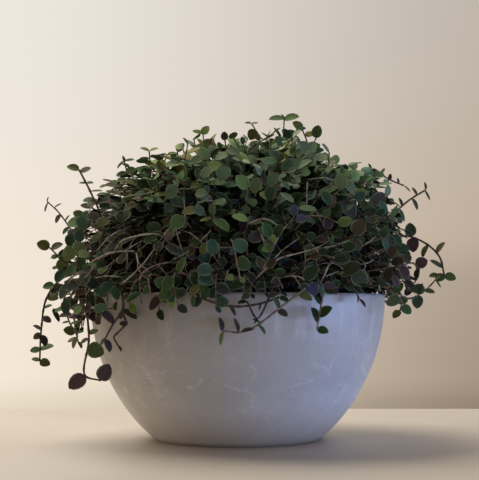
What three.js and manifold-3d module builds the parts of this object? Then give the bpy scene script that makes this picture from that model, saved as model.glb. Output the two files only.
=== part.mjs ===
// A potted turtle vine: a small-leaved creeper that makes a dense mound and trails over the rim of a
// wide, stone-look bowl. Millimetres, +Z up, with the origin in the middle of the bowl's foot, on the
// surface it stands on. The side seen in the photograph faces -Y, and +X is to its right.
import * as THREE from "three";
import { mergeVertices } from "three/addons/utils/BufferGeometryUtils.js";
import Module from "manifold-3d";

const wasm = await Module();
wasm.setup();

// Driving dimensions of the bowl
const RIM_RADIUS = 125;
const BOWL_HEIGHT = 122;
const FOOT_RADIUS = 69.5;
const WALL = 6;
const FLOOR = 9;
const FOOT_BEVEL = 1.2;
const FLOOR_CORNER = 6;
const BOWL_SIDES = 32;
const BOWL_RINGS = 8;

// Driving dimensions of the soil
const SOIL_EDGE_DROP = 4;
const SOIL_CROWN = 12;
const SEAT_GAP = 0.5;

// The mound of leaves: its outside, its inner body, and the leaves and sprigs on that body
const DOME_LEFT = 157;
const DOME_RIGHT = 148;
const DOME_DEPTH = 136;
const DOME_HEIGHT = 138;
const ROUND_POWER = 2.05;
const SQUARE_POWER = 2.55;
const CORE_SHARE = 0.84;
const CORE_RADIUS = 116;
const CORE_LOWEST = 76;
const CORE_FOOT_RADIUS = 94;
const CORE_SIDES = 24;
const CORE_RINGS = 6;
const CORE_CRUMPLE = 3;
const COVER_LEAVES = 84;
const COVER_LENGTH = 25;
const COVER_DEPTH = 5;
const COVER_LOWEST = 74;
const COVER_SWING = 2.6;
const SPRIGS = 28;
const SPRIG_LENGTH = 31;
const SPRIG_DEPTH = 7;
const SPRIG_STEPS = 2;
const SPRIG_LOWEST = 79;
const SPRIG_LEAF = 16;
const SPRIG_LEAVES = 4;
const TOP_SPRIG_PITCH = 9;

// The leaves, and how they sit on a stem
const LEAF_LENGTH = 13.5;
const LEAF_BREADTH = 0.88;
const LEAF_THICKNESS = 1.5;
const LEAF_FACE_SHARE = 0.35;
const LEAF_WIDEST = 0.42;
const LEAF_TAPER = 1.12;
const LEAF_CUP = 0.09;
const LEAF_POINTS = 6;
const LEAF_SUNK = 0.2;
const TIP_REACH = 0.5;
const TIP_LEAF = 0.8;
const TIP_LEAN = 1.1;
const LEAF_LEAN = 0.5;
const LEAF_TILT = 0.9;
const FACE_LIFT = 0.45;

// The stems and their roots
const STEM_RADIUS = 1.05;
const VINE_PITCH = 10.3;
const VINE_EXTRA_STEPS = 2;
const VINE_GAP = 0.35;
const ROOT_DEPTH = 8;
const HOLE_EASE = 1;
const ROOT_RING = 104;
const COLLAR_RISE = 5;
const PEGS = 4;
const PEG_RING = 58;
const PEG_RADIUS = 2;
const PEG_RISE = 8;

// Corners closer than this are one corner.
const WELD = 0.001;

const UP = new THREE.Vector3(0, 0, 1);
const FRONT = new THREE.Vector3(0, -1, 0);
const GOLDEN_ANGLE = Math.PI * (3 - Math.sqrt(5));
const radians = THREE.MathUtils.degToRad;

// A repeatable random draw from 0 to 1.
function drawsFrom(seed) {
  let state = seed;
  return () => {
    state = (1664525 * state + 1013904223) % 4294967296;
    return state / 4294967296;
  };
}

function bareOf(geometry) {
  const bare = geometry.clone();
  bare.deleteAttribute("normal");
  bare.deleteAttribute("uv");
  return bare;
}

function solidOf(geometry) {
  const merged = mergeVertices(bareOf(geometry), WELD);
  return new wasm.Manifold(
    new wasm.Mesh({
      numProp: 3,
      vertProperties: merged.attributes.position.array,
      triVerts: new Uint32Array(merged.index.array),
    }),
  );
}

function geometryOf(solid) {
  const mesh = solid.getMesh();
  return new THREE.BufferGeometry()
    .setAttribute("position", new THREE.BufferAttribute(mesh.vertProperties, 3))
    .setIndex(new THREE.BufferAttribute(mesh.triVerts, 1));
}

// The same solid without slivers.
function cleaned(solid) {
  const merged = mergeVertices(geometryOf(solid), WELD);
  const corners = Array.from(merged.index.array);
  const faces = [];
  for (let i = 0; i < corners.length; i += 3) {
    const face = corners.slice(i, i + 3);
    if (new Set(face).size === 3) faces.push(...face);
  }
  return new wasm.Manifold(
    new wasm.Mesh({
      numProp: 3,
      vertProperties: merged.attributes.position.array,
      triVerts: new Uint32Array(faces),
    }),
  );
}

// The largest body of a solid, with any hollow sealed inside it filled.
function oneBody(solid) {
  const bodies = cleaned(solid).decompose();
  return bodies.reduce((a, b) => (b.volume() > a.volume() ? b : a));
}

// A closed profile of [radius, height] pairs turned about the vertical axis.
function turned(profile, sides) {
  const points = profile.map(([r, z]) => new THREE.Vector2(r, z));
  return new THREE.LatheGeometry(points, sides).rotateX(Math.PI / 2);
}

// The outside of the bowl is part of an ellipse that is widest just above the rim.
const ELLIPSE_WIDEST_Z = BOWL_HEIGHT + 3;
const ELLIPSE_RADIUS = RIM_RADIUS + 0.5;
const FOOT_TURN = Math.acos(FOOT_RADIUS / ELLIPSE_RADIUS);
const ELLIPSE_DEPTH = ELLIPSE_WIDEST_Z / Math.sin(FOOT_TURN);
const turnAt = (z) => Math.asin((ELLIPSE_WIDEST_Z - z) / ELLIPSE_DEPTH);
const bowlRadius = (z) => ELLIPSE_RADIUS * Math.cos(turnAt(z));
const soilTop = (r) =>
  BOWL_HEIGHT - SOIL_EDGE_DROP + SOIL_CROWN * (1 - (r / (RIM_RADIUS - WALL)) ** 2);

const spaced = (low, high, count) =>
  Array.from({ length: count + 1 }, (_, i) => low + ((high - low) * i) / count);

// The heights at which the bowl's inner wall turns, and the radius of its flat floor.
const INNER_RINGS = spaced(FLOOR + FLOOR_CORNER, BOWL_HEIGHT - WALL / 2, 3);
const FLOOR_RADIUS = bowlRadius(FLOOR) - WALL - FLOOR_CORNER;

function makeBowl() {
  const lip = WALL / 2;
  const turns = spaced(turnAt(FOOT_BEVEL), turnAt(BOWL_HEIGHT - lip), BOWL_RINGS);
  const outside = turns.map((turn) => [
    ELLIPSE_RADIUS * Math.cos(turn),
    ELLIPSE_WIDEST_Z - ELLIPSE_DEPTH * Math.sin(turn),
  ]);
  const lipCentre = bowlRadius(BOWL_HEIGHT - lip) - lip;
  const rim = spaced(35, 145, 2).map((deg) => {
    const angle = radians(deg);
    return [lipCentre + lip * Math.cos(angle), BOWL_HEIGHT - lip + lip * Math.sin(angle)];
  });
  const inside = INNER_RINGS.map((z) => [bowlRadius(z) - WALL, z]).reverse();
  const profile = [
    [0, 0],
    [FOOT_RADIUS - FOOT_BEVEL, 0],
    ...outside,
    ...rim,
    ...inside,
    [FLOOR_RADIUS, FLOOR],
    [0, FLOOR],
  ];
  return solidOf(turned(profile, BOWL_SIDES));
}

function soilBody() {
  const side = [...INNER_RINGS.slice(0, -1), soilTop(RIM_RADIUS - WALL)];
  const wall = side.map((z) => [bowlRadius(z) - WALL - SEAT_GAP, z]);
  const edge = wall[wall.length - 1][0];
  const crown = spaced(edge, 0, 2).map((r) => [r, soilTop(r)]);
  const profile = [
    [0, FLOOR + SEAT_GAP],
    [FLOOR_RADIUS - SEAT_GAP, FLOOR + SEAT_GAP],
    ...wall,
    ...crown.slice(1),
  ];
  return solidOf(turned(profile, BOWL_SIDES));
}

// A stem along points, with a triangular section.
function stemSolid(points, radius, steps) {
  const section = new THREE.Shape(
    [90, 210, 330].map((deg) => {
      const angle = radians(deg);
      return new THREE.Vector2(radius * Math.cos(angle), radius * Math.sin(angle));
    }),
  );
  const extrudePath = new THREE.CatmullRomCurve3(points);
  return solidOf(new THREE.ExtrudeGeometry(section, { steps, extrudePath }));
}

// The middle line of such a stem, made of the straight lengths that its faces follow.
function stemLine(points, steps) {
  const knots = new THREE.CatmullRomCurve3(points).getSpacedPoints(steps);
  const line = new THREE.CurvePath();
  knots.slice(1).forEach((knot, i) => line.add(new THREE.LineCurve3(knots[i], knot)));
  return line;
}

// One fleshy, cupped, egg-shaped leaf: it starts at base, points along direction and faces along normal.
function leafSolid({ base, direction, normal, length }) {
  const geometry = new THREE.SphereGeometry(1, LEAF_POINTS, 2);
  const position = geometry.attributes.position;
  const width = length * LEAF_BREADTH;
  for (let i = 0; i < position.count; i++) {
    const share = (1 + position.getX(i)) / 2;
    const pole = position.getY(i);
    const across = position.getZ(i);
    const onEdge = Math.abs(pole) < 0.5;
    const toTip = (length + LEAF_SUNK) * share ** LEAF_TAPER - LEAF_SUNK;
    const cup = LEAF_CUP * width * across ** 2;
    const middle = LEAF_THICKNESS * (pole > 0 ? LEAF_FACE_SHARE : LEAF_FACE_SHARE - 1);
    const along = onEdge ? toTip : LEAF_WIDEST * length;
    position.setXYZ(i, along, onEdge ? cup : middle, (across * width) / 2);
  }
  const side = new THREE.Vector3().crossVectors(direction, normal).normalize();
  const place = new THREE.Matrix4().makeBasis(direction, normal, side).setPosition(base);
  return solidOf(geometry.applyMatrix4(place));
}

// The leaves of a stem, from its tip backwards, on alternate sides. Each blade turns its face to facing.
function leavesAlong(line, { count, pitch, length, facing, draw }) {
  const reach = line.getLength();
  return Array.from({ length: count }, (_, k) => {
    const along = Math.max(0, 1 - (k * pitch + TIP_REACH) / reach);
    const base = line.getPointAt(along);
    const tangent = line.getTangentAt(along);
    const handed = k % 2 ? 1 : -1;
    const side = new THREE.Vector3().crossVectors(tangent, facing).normalize();
    const forward = k === 0 ? TIP_LEAN : LEAF_LEAN + 0.35 * draw();
    const direction = side
      .multiplyScalar(handed)
      .addScaledVector(tangent, forward)
      .addScaledVector(facing, 0.45 * (draw() - 0.35))
      .normalize();
    const tilt = LEAF_TILT * (draw() - 0.5);
    const flat = facing.clone().addScaledVector(direction, -facing.dot(direction)).normalize();
    const normal = flat.applyAxisAngle(direction, tilt);
    const grown = length * (0.8 + 0.3 * draw()) * (k === 0 ? TIP_LEAF : 1);
    return { base, direction, normal, length: grown };
  });
}

// The mound's outside is a dome that stands on the rim's level. It is rounder at its left, where it also
// reaches further, and has a squarer shoulder at its right.
const DOME_CENTRE = new THREE.Vector3(0, 0, BOWL_HEIGHT);

// A surface point of the mound's inner body, and the way out of it, for a way from the dome's centre.
function moundPoint(way) {
  const toRight = THREE.MathUtils.smoothstep(way.x, -0.3, 0.9);
  const power = THREE.MathUtils.lerp(ROUND_POWER, SQUARE_POWER, toRight);
  const halves = [way.x < 0 ? DOME_LEFT : DOME_RIGHT, DOME_DEPTH, DOME_HEIGHT];
  const shares = way.toArray().map((value, k) => Math.abs(value) / halves[k]);
  const dome = shares.reduce((sum, share) => sum + share ** power, 0) ** (-1 / power);
  const reach = Math.min(CORE_SHARE * dome, CORE_RADIUS / Math.hypot(way.x, way.y));
  const slope = shares.map((share, k) => (Math.sign(way.getComponent(k)) * share ** (power - 1)) / halves[k]);
  return {
    point: way.clone().multiplyScalar(reach).add(DOME_CENTRE),
    out: new THREE.Vector3(...slope).normalize(),
  };
}

// Ways from the dome's centre, spread evenly from straight up to the lowest angle, in degrees.
function evenWays(count, lowest) {
  return Array.from({ length: count }, (_, i) => {
    const share = (i + 0.5) / count;
    const polar = Math.acos(1 - share * (1 - Math.cos(radians(lowest))));
    const level = Math.sin(polar);
    const turn = i * GOLDEN_ANGLE;
    const way = new THREE.Vector3(level * Math.cos(turn), level * Math.sin(turn), Math.cos(polar));
    return { share, way };
  });
}

// The mound's inner body is a dome of crumpled, leaf-sized faces that stands on the soil.
function moundBody() {
  const dome = spaced(radians(CORE_LOWEST), 0, CORE_RINGS).map((polar) => [
    CORE_RADIUS * Math.sin(polar),
    BOWL_HEIGHT + CORE_RADIUS * Math.cos(polar),
  ]);
  const lowestOfDome = dome[0][1];
  const under = spaced(0, CORE_FOOT_RADIUS, 2).map((r) => [r, soilTop(r) + SEAT_GAP]);
  const flare = [(CORE_FOOT_RADIUS + CORE_RADIUS) / 2 - 1, (lowestOfDome + BOWL_HEIGHT) / 2];
  const geometry = mergeVertices(bareOf(turned([...under, flare, ...dome], CORE_SIDES)), WELD);
  const position = geometry.attributes.position;
  const draw = drawsFrom(3301);
  for (let i = 0; i < position.count; i++) {
    const vertex = new THREE.Vector3().fromBufferAttribute(position, i);
    if (vertex.z < lowestOfDome - 1) continue;
    const { point, out } = moundPoint(vertex.sub(DOME_CENTRE).normalize());
    const slide = new THREE.Vector3(draw() - 0.5, draw() - 0.5, draw() - 0.5);
    point.addScaledVector(out, 2 * CORE_CRUMPLE * (draw() - 0.7));
    point.addScaledVector(slide, CORE_CRUMPLE);
    position.setXYZ(i, ...point);
  }
  return solidOf(geometry);
}

// The leaves that cover the mound's inner body, each coming out of it at a slant.
function coverLeaves() {
  const draw = drawsFrom(5099);
  return evenWays(COVER_LEAVES, COVER_LOWEST).map(({ way }) => {
    const { point, out } = moundPoint(way);
    const down = out.clone().multiplyScalar(out.z).sub(UP).normalize();
    const along = down.applyAxisAngle(out, COVER_SWING * (draw() - 0.5));
    const direction = along.clone().addScaledVector(out, 0.5 + 0.6 * draw()).normalize();
    const normal = out.clone().addScaledVector(direction, -out.dot(direction)).normalize();
    normal.applyAxisAngle(direction, LEAF_TILT * (draw() - 0.5));
    const base = point.addScaledVector(out, -COVER_DEPTH);
    return { base, direction, normal, length: COVER_LENGTH * (0.85 + 0.3 * draw()) };
  });
}

// The short leafy tips that stand out of the mound, spread evenly over it.
function sprigRules() {
  const draw = drawsFrom(20611);
  return evenWays(SPRIGS, SPRIG_LOWEST).map(({ share, way: from }, i) => {
    const { point, out } = moundPoint(from);
    const length = SPRIG_LENGTH * (0.85 + 0.35 * draw());
    const lean = new THREE.Vector3(draw() - 0.5, draw() - 0.5, draw() - 0.5);
    const way = out.clone().addScaledVector(UP, 0.35 - 0.4 * share).addScaledVector(lean, 0.9);
    way.normalize();
    const start = point.clone().addScaledVector(out, -SPRIG_DEPTH);
    const bend = UP.clone().multiplyScalar(length * (0.1 - 0.5 * share ** 2));
    const points = [
      start,
      start.clone().addScaledVector(way, SPRIG_DEPTH + length / 2),
      start.clone().addScaledVector(way, SPRIG_DEPTH + length).add(bend),
    ];
    const facing = out.clone().addScaledVector(UP, FACE_LIFT).normalize();
    return { points, facing, draw: drawsFrom(911 + 37 * i), pitch: length / SPRIG_LEAVES };
  });
}

// Sprigs that stand clear of the mound's outline in the photograph: their tips, from left to right.
const TOP_SPRIGS = [
  [[-86, 0, 196], [-95, 0, 222], [-101, 0, 240]],
  [[-68, -6, 205], [-75, -6, 229], [-77, -4, 246]],
  [[-56, 4, 208], [-62, 4, 232], [-60, 4, 246]],
  [[-26, 0, 215], [-32, 0, 247], [-28, 0, 264]],
  [[-10, 8, 218], [-11, 8, 243], [-12, 8, 258]],
  [[22, -4, 220], [19, -4, 252], [14, -4, 269]],
  [[44, -8, 212], [43, -10, 250], [40, -10, 272]],
  [[56, 4, 206], [60, 2, 250], [53, 0, 268]],
  [[66, -16, 200], [64, -14, 238], [67, -12, 257]],
  [[84, 0, 192], [98, 4, 226], [104, 6, 238]],
];

function topSprigRules() {
  return TOP_SPRIGS.map((at, i) => ({
    points: at.map((p) => new THREE.Vector3(...p)),
    facing: new THREE.Vector3(0, -0.8, 0.6),
    draw: drawsFrom(4703 + 53 * i),
    pitch: TOP_SPRIG_PITCH,
  }));
}

// The trailing vines. A vine is rooted in the soil at a bearing, in degrees from +X towards +Y, and then
// follows its route over the rim. Its leaves are counted from its tip backwards, and toFront tells
// whether they turn their faces to the front as those seen at the sides do.
const VINES = [
  {
    name: "left_high",
    finish: "olive",
    bearing: 186,
    count: 7,
    toFront: true,
    route: [[-121, -18, 150], [-121, -22, 190], [-125, -20, 208], [-138, -18, 233]],
  },
  {
    name: "left_back",
    finish: "green",
    bearing: 166,
    count: 6,
    toFront: true,
    route: [[-124, 32, 148], [-146, 45, 176], [-163, 52, 198], [-173, 55, 207]],
  },
  {
    name: "left_mid",
    finish: "olive",
    bearing: 195,
    count: 6,
    toFront: true,
    route: [[-130, -28, 138], [-146, -22, 148], [-151, -20, 154], [-158, -20, 161]],
  },
  {
    name: "left_far",
    finish: "green",
    bearing: 204,
    count: 9,
    toFront: true,
    route: [[-126, -46, 138], [-145, -34, 133], [-157, -28, 112], [-163, -28, 90], [-164, -28, 66]],
  },
  {
    name: "left_long",
    finish: "plum",
    bearing: 211,
    count: 8,
    toFront: true,
    route: [[-119, -62, 129], [-120, -66, 110], [-118, -69, 85], [-121, -69, 57], [-108, -73, 53]],
  },
  {
    name: "left_rim",
    finish: "plum",
    bearing: 226,
    count: 6,
    toFront: true,
    route: [[-88, -94, 127], [-91, -97, 112], [-96, -99, 99], [-102, -97, 86]],
  },
  {
    name: "left_low",
    finish: "green",
    bearing: 199,
    count: 7,
    toFront: true,
    route: [[-128, -38, 131], [-141, -48, 120], [-143, -52, 106], [-135, -54, 95]],
  },
  {
    name: "left_drop",
    finish: "green",
    bearing: 178,
    count: 7,
    toFront: true,
    route: [[-126, -6, 130], [-136, -8, 118], [-138, -10, 100], [-135, -10, 82]],
  },
  {
    name: "right_arch",
    finish: "green",
    bearing: 346,
    count: 9,
    toFront: true,
    route: [[125, -34, 158], [138, -30, 172], [158, -30, 165], [169, -30, 149], [174, -30, 134]],
  },
  {
    name: "right_low",
    finish: "green",
    bearing: 339,
    count: 6,
    toFront: true,
    route: [[123, -44, 128], [145, -38, 121], [160, -35, 127], [168, -35, 137]],
  },
  {
    name: "right_hang",
    finish: "green",
    bearing: 330,
    count: 6,
    toFront: true,
    route: [[111, -62, 129], [123, -64, 124], [132, -66, 114], [131, -66, 101]],
  },
  {
    name: "right_high",
    finish: "olive",
    bearing: 4,
    count: 6,
    toFront: true,
    route: [[126, 6, 152], [132, 2, 186], [145, 0, 201], [162, 0, 212]],
  },
  {
    name: "right_shoulder",
    finish: "green",
    bearing: 18,
    count: 7,
    toFront: true,
    route: [[121, 24, 158], [122, 20, 200], [126, 14, 224], [143, 12, 217]],
  },
  {
    name: "right_plum",
    finish: "plum",
    bearing: 354,
    count: 7,
    toFront: true,
    route: [[126, -10, 132], [144, -12, 147], [155, -11, 143], [154, -10, 128]],
  },
  {
    name: "front_runner",
    finish: "plum",
    bearing: 252,
    count: 5,
    toFront: false,
    route: [[-38, -122, 127], [-23, -134, 117], [-4, -135, 112], [20, -134, 114]],
  },
  {
    name: "front_bow",
    finish: "plum",
    bearing: 284,
    count: 3,
    toFront: false,
    route: [[30, -122, 128], [26, -133, 116], [17, -135, 103], [12, -134, 108]],
  },
  {
    name: "front_trail",
    finish: "olive",
    bearing: 296,
    count: 7,
    toFront: false,
    route: [[56, -119, 129], [50, -131, 120], [36, -135, 107], [12, -135, 94], [-11, -133, 92]],
  },
  {
    name: "front_right",
    finish: "green",
    bearing: 303,
    count: 6,
    toFront: false,
    route: [[66, -108, 127], [70, -117, 119], [69, -119, 105], [67, -117, 92]],
  },
  {
    name: "front_far_right",
    finish: "plum",
    bearing: 314,
    count: 5,
    toFront: false,
    route: [[84, -88, 127], [93, -97, 124], [100, -100, 115]],
  },
  {
    name: "front_left",
    finish: "green",
    bearing: 240,
    count: 6,
    toFront: false,
    route: [[-58, -106, 128], [-58, -121, 125], [-55, -128, 114]],
  },
  {
    name: "front_mid",
    finish: "green",
    bearing: 268,
    count: 6,
    toFront: false,
    route: [[-6, -118, 129], [-6, -131, 128], [-5, -137, 119]],
  },
];

// Round the back and sides, which the photograph does not show, vines of the same kinds by a rule.
const BACK_VINES = 7;
const BACK_FIRST = 32;
const BACK_STEP = 19.5;

function backVines() {
  const draw = drawsFrom(7793);
  return Array.from({ length: BACK_VINES }, (_, i) => {
    const bearing = BACK_FIRST + i * BACK_STEP;
    const drop = 8 + 34 * draw();
    const reach = 134 + 16 * draw();
    const sway = 5 * (draw() - 0.5);
    const at = (radius, turn, z) => {
      const angle = radians(bearing + turn);
      return [radius * Math.cos(angle), radius * Math.sin(angle), z];
    };
    const route = [
      at(120, 0, 131),
      at(reach, sway * 0.5, 128),
      at(reach + 5, sway, 120 - drop * 0.5),
      at(reach + 3, sway * 1.4, 118 - drop),
    ];
    const finish = ["green", "olive", "green", "plum"][i % 4];
    return { name: `back_${i + 1}`, finish, bearing, count: 6, toFront: false, route };
  });
}

function vineParts({ bearing, count, toFront, route }, index) {
  const angle = radians(bearing);
  const outward = new THREE.Vector3(Math.cos(angle), Math.sin(angle), 0);
  const root = outward.clone().multiplyScalar(ROOT_RING).setZ(soilTop(ROOT_RING) - ROOT_DEPTH);
  const collar = outward.clone().multiplyScalar(ROOT_RING + 1).setZ(soilTop(ROOT_RING) + COLLAR_RISE);
  const points = [root, collar, ...route.map((p) => new THREE.Vector3(...p))];
  const facing = outward.clone().lerp(FRONT, toFront ? 0.8 : 0).addScaledVector(UP, FACE_LIFT).normalize();
  const draw = drawsFrom(131 + 71 * index);
  const rules = { count, pitch: VINE_PITCH, length: LEAF_LENGTH, facing, draw };
  const steps = points.length + VINE_EXTRA_STEPS;
  const line = stemLine(points, steps);
  const [first, second] = line.curves;
  const below = first.v1.clone().addScaledVector(first.getTangent(0), -SEAT_GAP);
  const rooted = [below, first.v2, second.v2];
  return {
    stem: stemSolid(points, STEM_RADIUS, steps),
    hole: stemSolid(rooted, 2 * STEM_RADIUS + HOLE_EASE, 2),
    leaves: leavesAlong(line, rules).map(leafSolid),
  };
}

const COLOURS = {
  bowl: { color: 0xbab4ae, roughness: 0.45 },
  soil: { color: 0x2a211c, roughness: 1 },
  green: { color: 0x4b6144, roughness: 0.5 },
  olive: { color: 0x5e6238, roughness: 0.5 },
  plum: { color: 0x4a3439, roughness: 0.5 },
};

const plant = new THREE.Group();

function addPiece(name, solid, finish) {
  const material = new THREE.MeshStandardMaterial({ metalness: 0, ...COLOURS[finish] });
  const mesh = new THREE.Mesh(geometryOf(solid), material);
  mesh.name = name;
  plant.add(mesh);
}

const isClear = (solid, others) => others.every((other) => solid.minGap(other, 1) >= VINE_GAP);

const bowl = makeBowl();
const wholeSoil = soilBody();
const moundCore = moundBody();
addPiece("bowl", bowl, "bowl");

// A vine keeps the leaves that stand clear of all that was placed before it.
const fixed = [bowl, wholeSoil, moundCore];
const vines = [];
const holes = [];
[...VINES, ...backVines()].forEach((rule, index) => {
  const { stem, hole, leaves } = vineParts(rule, index);
  if (!isClear(stem, [bowl, moundCore, ...vines])) throw new Error(`${rule.name} isn't clear`);
  const kept = leaves.filter((leaf) => isClear(leaf, [...fixed, ...vines]));
  const vine = oneBody(wasm.Manifold.union([stem, ...kept]));
  addPiece(`vine_${rule.name}`, vine, rule.finish);
  vines.push(vine);
  holes.push(hole);
});

// The mound stands on the soil, and short rooted stems reach down from it into the soil.
const pegs = [];
for (let i = 0; i < PEGS; i++) {
  const angle = (2 * Math.PI * (i + 0.5)) / PEGS;
  const foot = new THREE.Vector3(PEG_RING * Math.cos(angle), PEG_RING * Math.sin(angle), 0);
  const top = foot.clone().setZ(soilTop(PEG_RING) + PEG_RISE);
  const end = foot.clone().setZ(soilTop(PEG_RING) - ROOT_DEPTH);
  const holeEnd = end.clone().setZ(end.z - SEAT_GAP);
  pegs.push(stemSolid([top, end], PEG_RADIUS, 1));
  holes.push(stemSolid([top, holeEnd], PEG_RADIUS + STEM_RADIUS + HOLE_EASE, 1));
}
addPiece("soil", oneBody(wholeSoil.subtract(wasm.Manifold.union(holes))), "soil");

// A sprig keeps the leaves that stand clear of the vines, the bowl and the leaves of other sprigs.
const stems = [];
const blades = [];
function addBlade(leaf) {
  const blade = leafSolid(leaf);
  if (!isClear(blade, [bowl, wholeSoil, ...vines])) return;
  if (blades.every((other) => blade.minGap(other, 1) > 0)) blades.push(blade);
}
for (const { points, facing, draw, pitch } of [...topSprigRules(), ...sprigRules()]) {
  const stem = stemSolid(points, STEM_RADIUS, SPRIG_STEPS);
  if (!isClear(stem, [bowl, ...vines])) continue;
  stems.push(stem);
  const line = stemLine(points, SPRIG_STEPS);
  const rules = { count: SPRIG_LEAVES, pitch, length: SPRIG_LEAF, facing, draw };
  leavesAlong(line, rules).forEach(addBlade);
}
coverLeaves().forEach(addBlade);
const mound = wasm.Manifold.union([moundCore, ...pegs, ...stems, ...blades]);
addPiece("leafy_mound", oneBody(mound), "green");

export default plant;
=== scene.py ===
# A potted turtle vine: a wide bowl with a stone look, the soil in it, the leafy mound and the runners
# that trail over its rim. The plant is laid out in millimetres and made in metres, +Z up, with the
# origin in the middle of the bowl's foot. The side that is seen first faces -Y.
import math

import bpy
import numpy as np
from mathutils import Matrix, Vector, noise


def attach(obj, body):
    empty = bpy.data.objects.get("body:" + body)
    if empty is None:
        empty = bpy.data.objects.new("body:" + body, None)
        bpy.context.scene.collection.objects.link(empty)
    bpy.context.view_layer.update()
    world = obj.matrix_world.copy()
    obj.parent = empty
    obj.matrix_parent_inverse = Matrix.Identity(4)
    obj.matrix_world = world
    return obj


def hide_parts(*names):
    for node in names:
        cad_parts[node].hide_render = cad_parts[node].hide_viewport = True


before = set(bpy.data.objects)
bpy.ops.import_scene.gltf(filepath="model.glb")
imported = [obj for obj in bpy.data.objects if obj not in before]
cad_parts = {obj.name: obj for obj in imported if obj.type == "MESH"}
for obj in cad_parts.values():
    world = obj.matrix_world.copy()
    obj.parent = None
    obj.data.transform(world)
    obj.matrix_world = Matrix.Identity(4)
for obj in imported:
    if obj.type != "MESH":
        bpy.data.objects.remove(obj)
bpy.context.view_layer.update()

MM = 0.001
UP = np.array([0.0, 0.0, 1.0])
FRONT = np.array([0.0, -1.0, 0.0])
GOLDEN_ANGLE = math.pi * (3 - math.sqrt(5))
DRAW_RANGE = 2**32
BOWL_SMOOTH, SOIL_SMOOTH, HEART_SMOOTH, LEAF_SMOOTH = 40, 50, 30, 66
CAMERA_PLACE, CAMERA_TILT, CAMERA_LENS = (0.0017, -0.986, 0.107), 93.58, 86.25


# ---------------------------------------------------------------- camera
def make_camera():
    bpy.ops.object.camera_add(location=CAMERA_PLACE, rotation=(math.radians(CAMERA_TILT), 0, 0))
    camera = bpy.context.object
    camera.name = "view_camera"
    camera.data.sensor_width = 36
    camera.data.lens = CAMERA_LENS
    camera.data.clip_start = 0.02
    bpy.context.scene.camera = camera


make_camera()


# ---------------------------------------------------------------- small helpers
def draws_from(seed):
    """A repeatable random draw from 0 to 1."""
    state = seed

    def draw():
        nonlocal state
        state = (1664525 * state + 1013904223) % DRAW_RANGE
        return state / DRAW_RANGE

    return draw


def pick(choices, draw):
    return choices[int(draw() * len(choices))]


def jitter(draw):
    return np.array([draw() - 0.5, draw() - 0.5, draw() - 0.5])


def clamp(share):
    return min(max(share, 0), 1)


def unit(v):
    return v / np.linalg.norm(v)


def level_way(angle):
    return np.array([math.cos(angle), math.sin(angle), 0])


def turned_about(v, axis, angle):
    """v turned about a unit axis at right angles to it."""
    return v * math.cos(angle) + np.cross(axis, v) * math.sin(angle)


def pick_out(*objects):
    """Only these objects are selected, and the first is the active one."""
    bpy.ops.object.select_all(action="DESELECT")
    for one in objects:
        one.select_set(True)
    bpy.context.view_layer.objects.active = objects[0] if objects else None


def edit_all():
    bpy.ops.object.mode_set(mode="EDIT")
    bpy.ops.mesh.select_all(action="SELECT")


def placed(name, data):
    piece = bpy.data.objects.new(name, data)
    bpy.context.scene.collection.objects.link(piece)
    return piece


def finished(piece, skin, smooth, slot, *nodes):
    """The piece, smooth up to an angle, takes skin as its finish, rides on the pot and stands for nodes. slot
    is not used.
    """
    pick_out(piece)
    bpy.ops.object.shade_smooth_by_angle(angle=math.radians(smooth))
    if skin:
        piece.data.materials.append(skin)
    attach(piece, "root")
    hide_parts(*nodes)


def smooth_path(points, spacing):
    """Evenly spaced points on the smooth curve through points."""
    p = np.array(points, float)
    p = np.vstack([2 * p[0] - p[1], p, 2 * p[-1] - p[-2]])
    gaps = np.linalg.norm(np.diff(p, axis=0), axis=1) ** 0.5
    t = np.linspace(0, 1, 12, endpoint=False)[:, None]
    runs = []
    for i in range(1, len(p) - 2):
        a, b, c, d = p[i - 1 : i + 3]
        d0, d1, d2 = gaps[i - 1 : i + 2]
        leave = ((b - a) / d0 - (c - a) / (d0 + d1) + (c - b) / d1) * d1
        arrive = ((c - b) / d1 - (d - b) / (d1 + d2) + (d - c) / d2) * d1
        square = 3 * (c - b) - 2 * leave - arrive
        cube = 2 * (b - c) + leave + arrive
        runs.append(b + leave * t + square * t**2 + cube * t**3)
    dense = np.vstack([*runs, p[-2:-1]])
    lengths = np.r_[0, np.cumsum(np.linalg.norm(np.diff(dense, axis=0), axis=1))]
    at = np.linspace(0, lengths[-1], max(4, round(lengths[-1] / spacing) + 1))
    return np.stack([np.interp(at, lengths, dense[:, k]) for k in range(3)], axis=1)


def path_length(path):
    return np.linalg.norm(np.diff(path, axis=0), axis=1).sum()


def on_path(path, back):
    """The point that far back from the end of an evenly spaced path, and the way it runs there."""
    place = max(0.0, 1 - back / path_length(path)) * (len(path) - 1)
    i = min(int(place), len(path) - 2)
    step = path[i + 1] - path[i]
    return path[i] + step * (place - i), unit(step)


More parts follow.
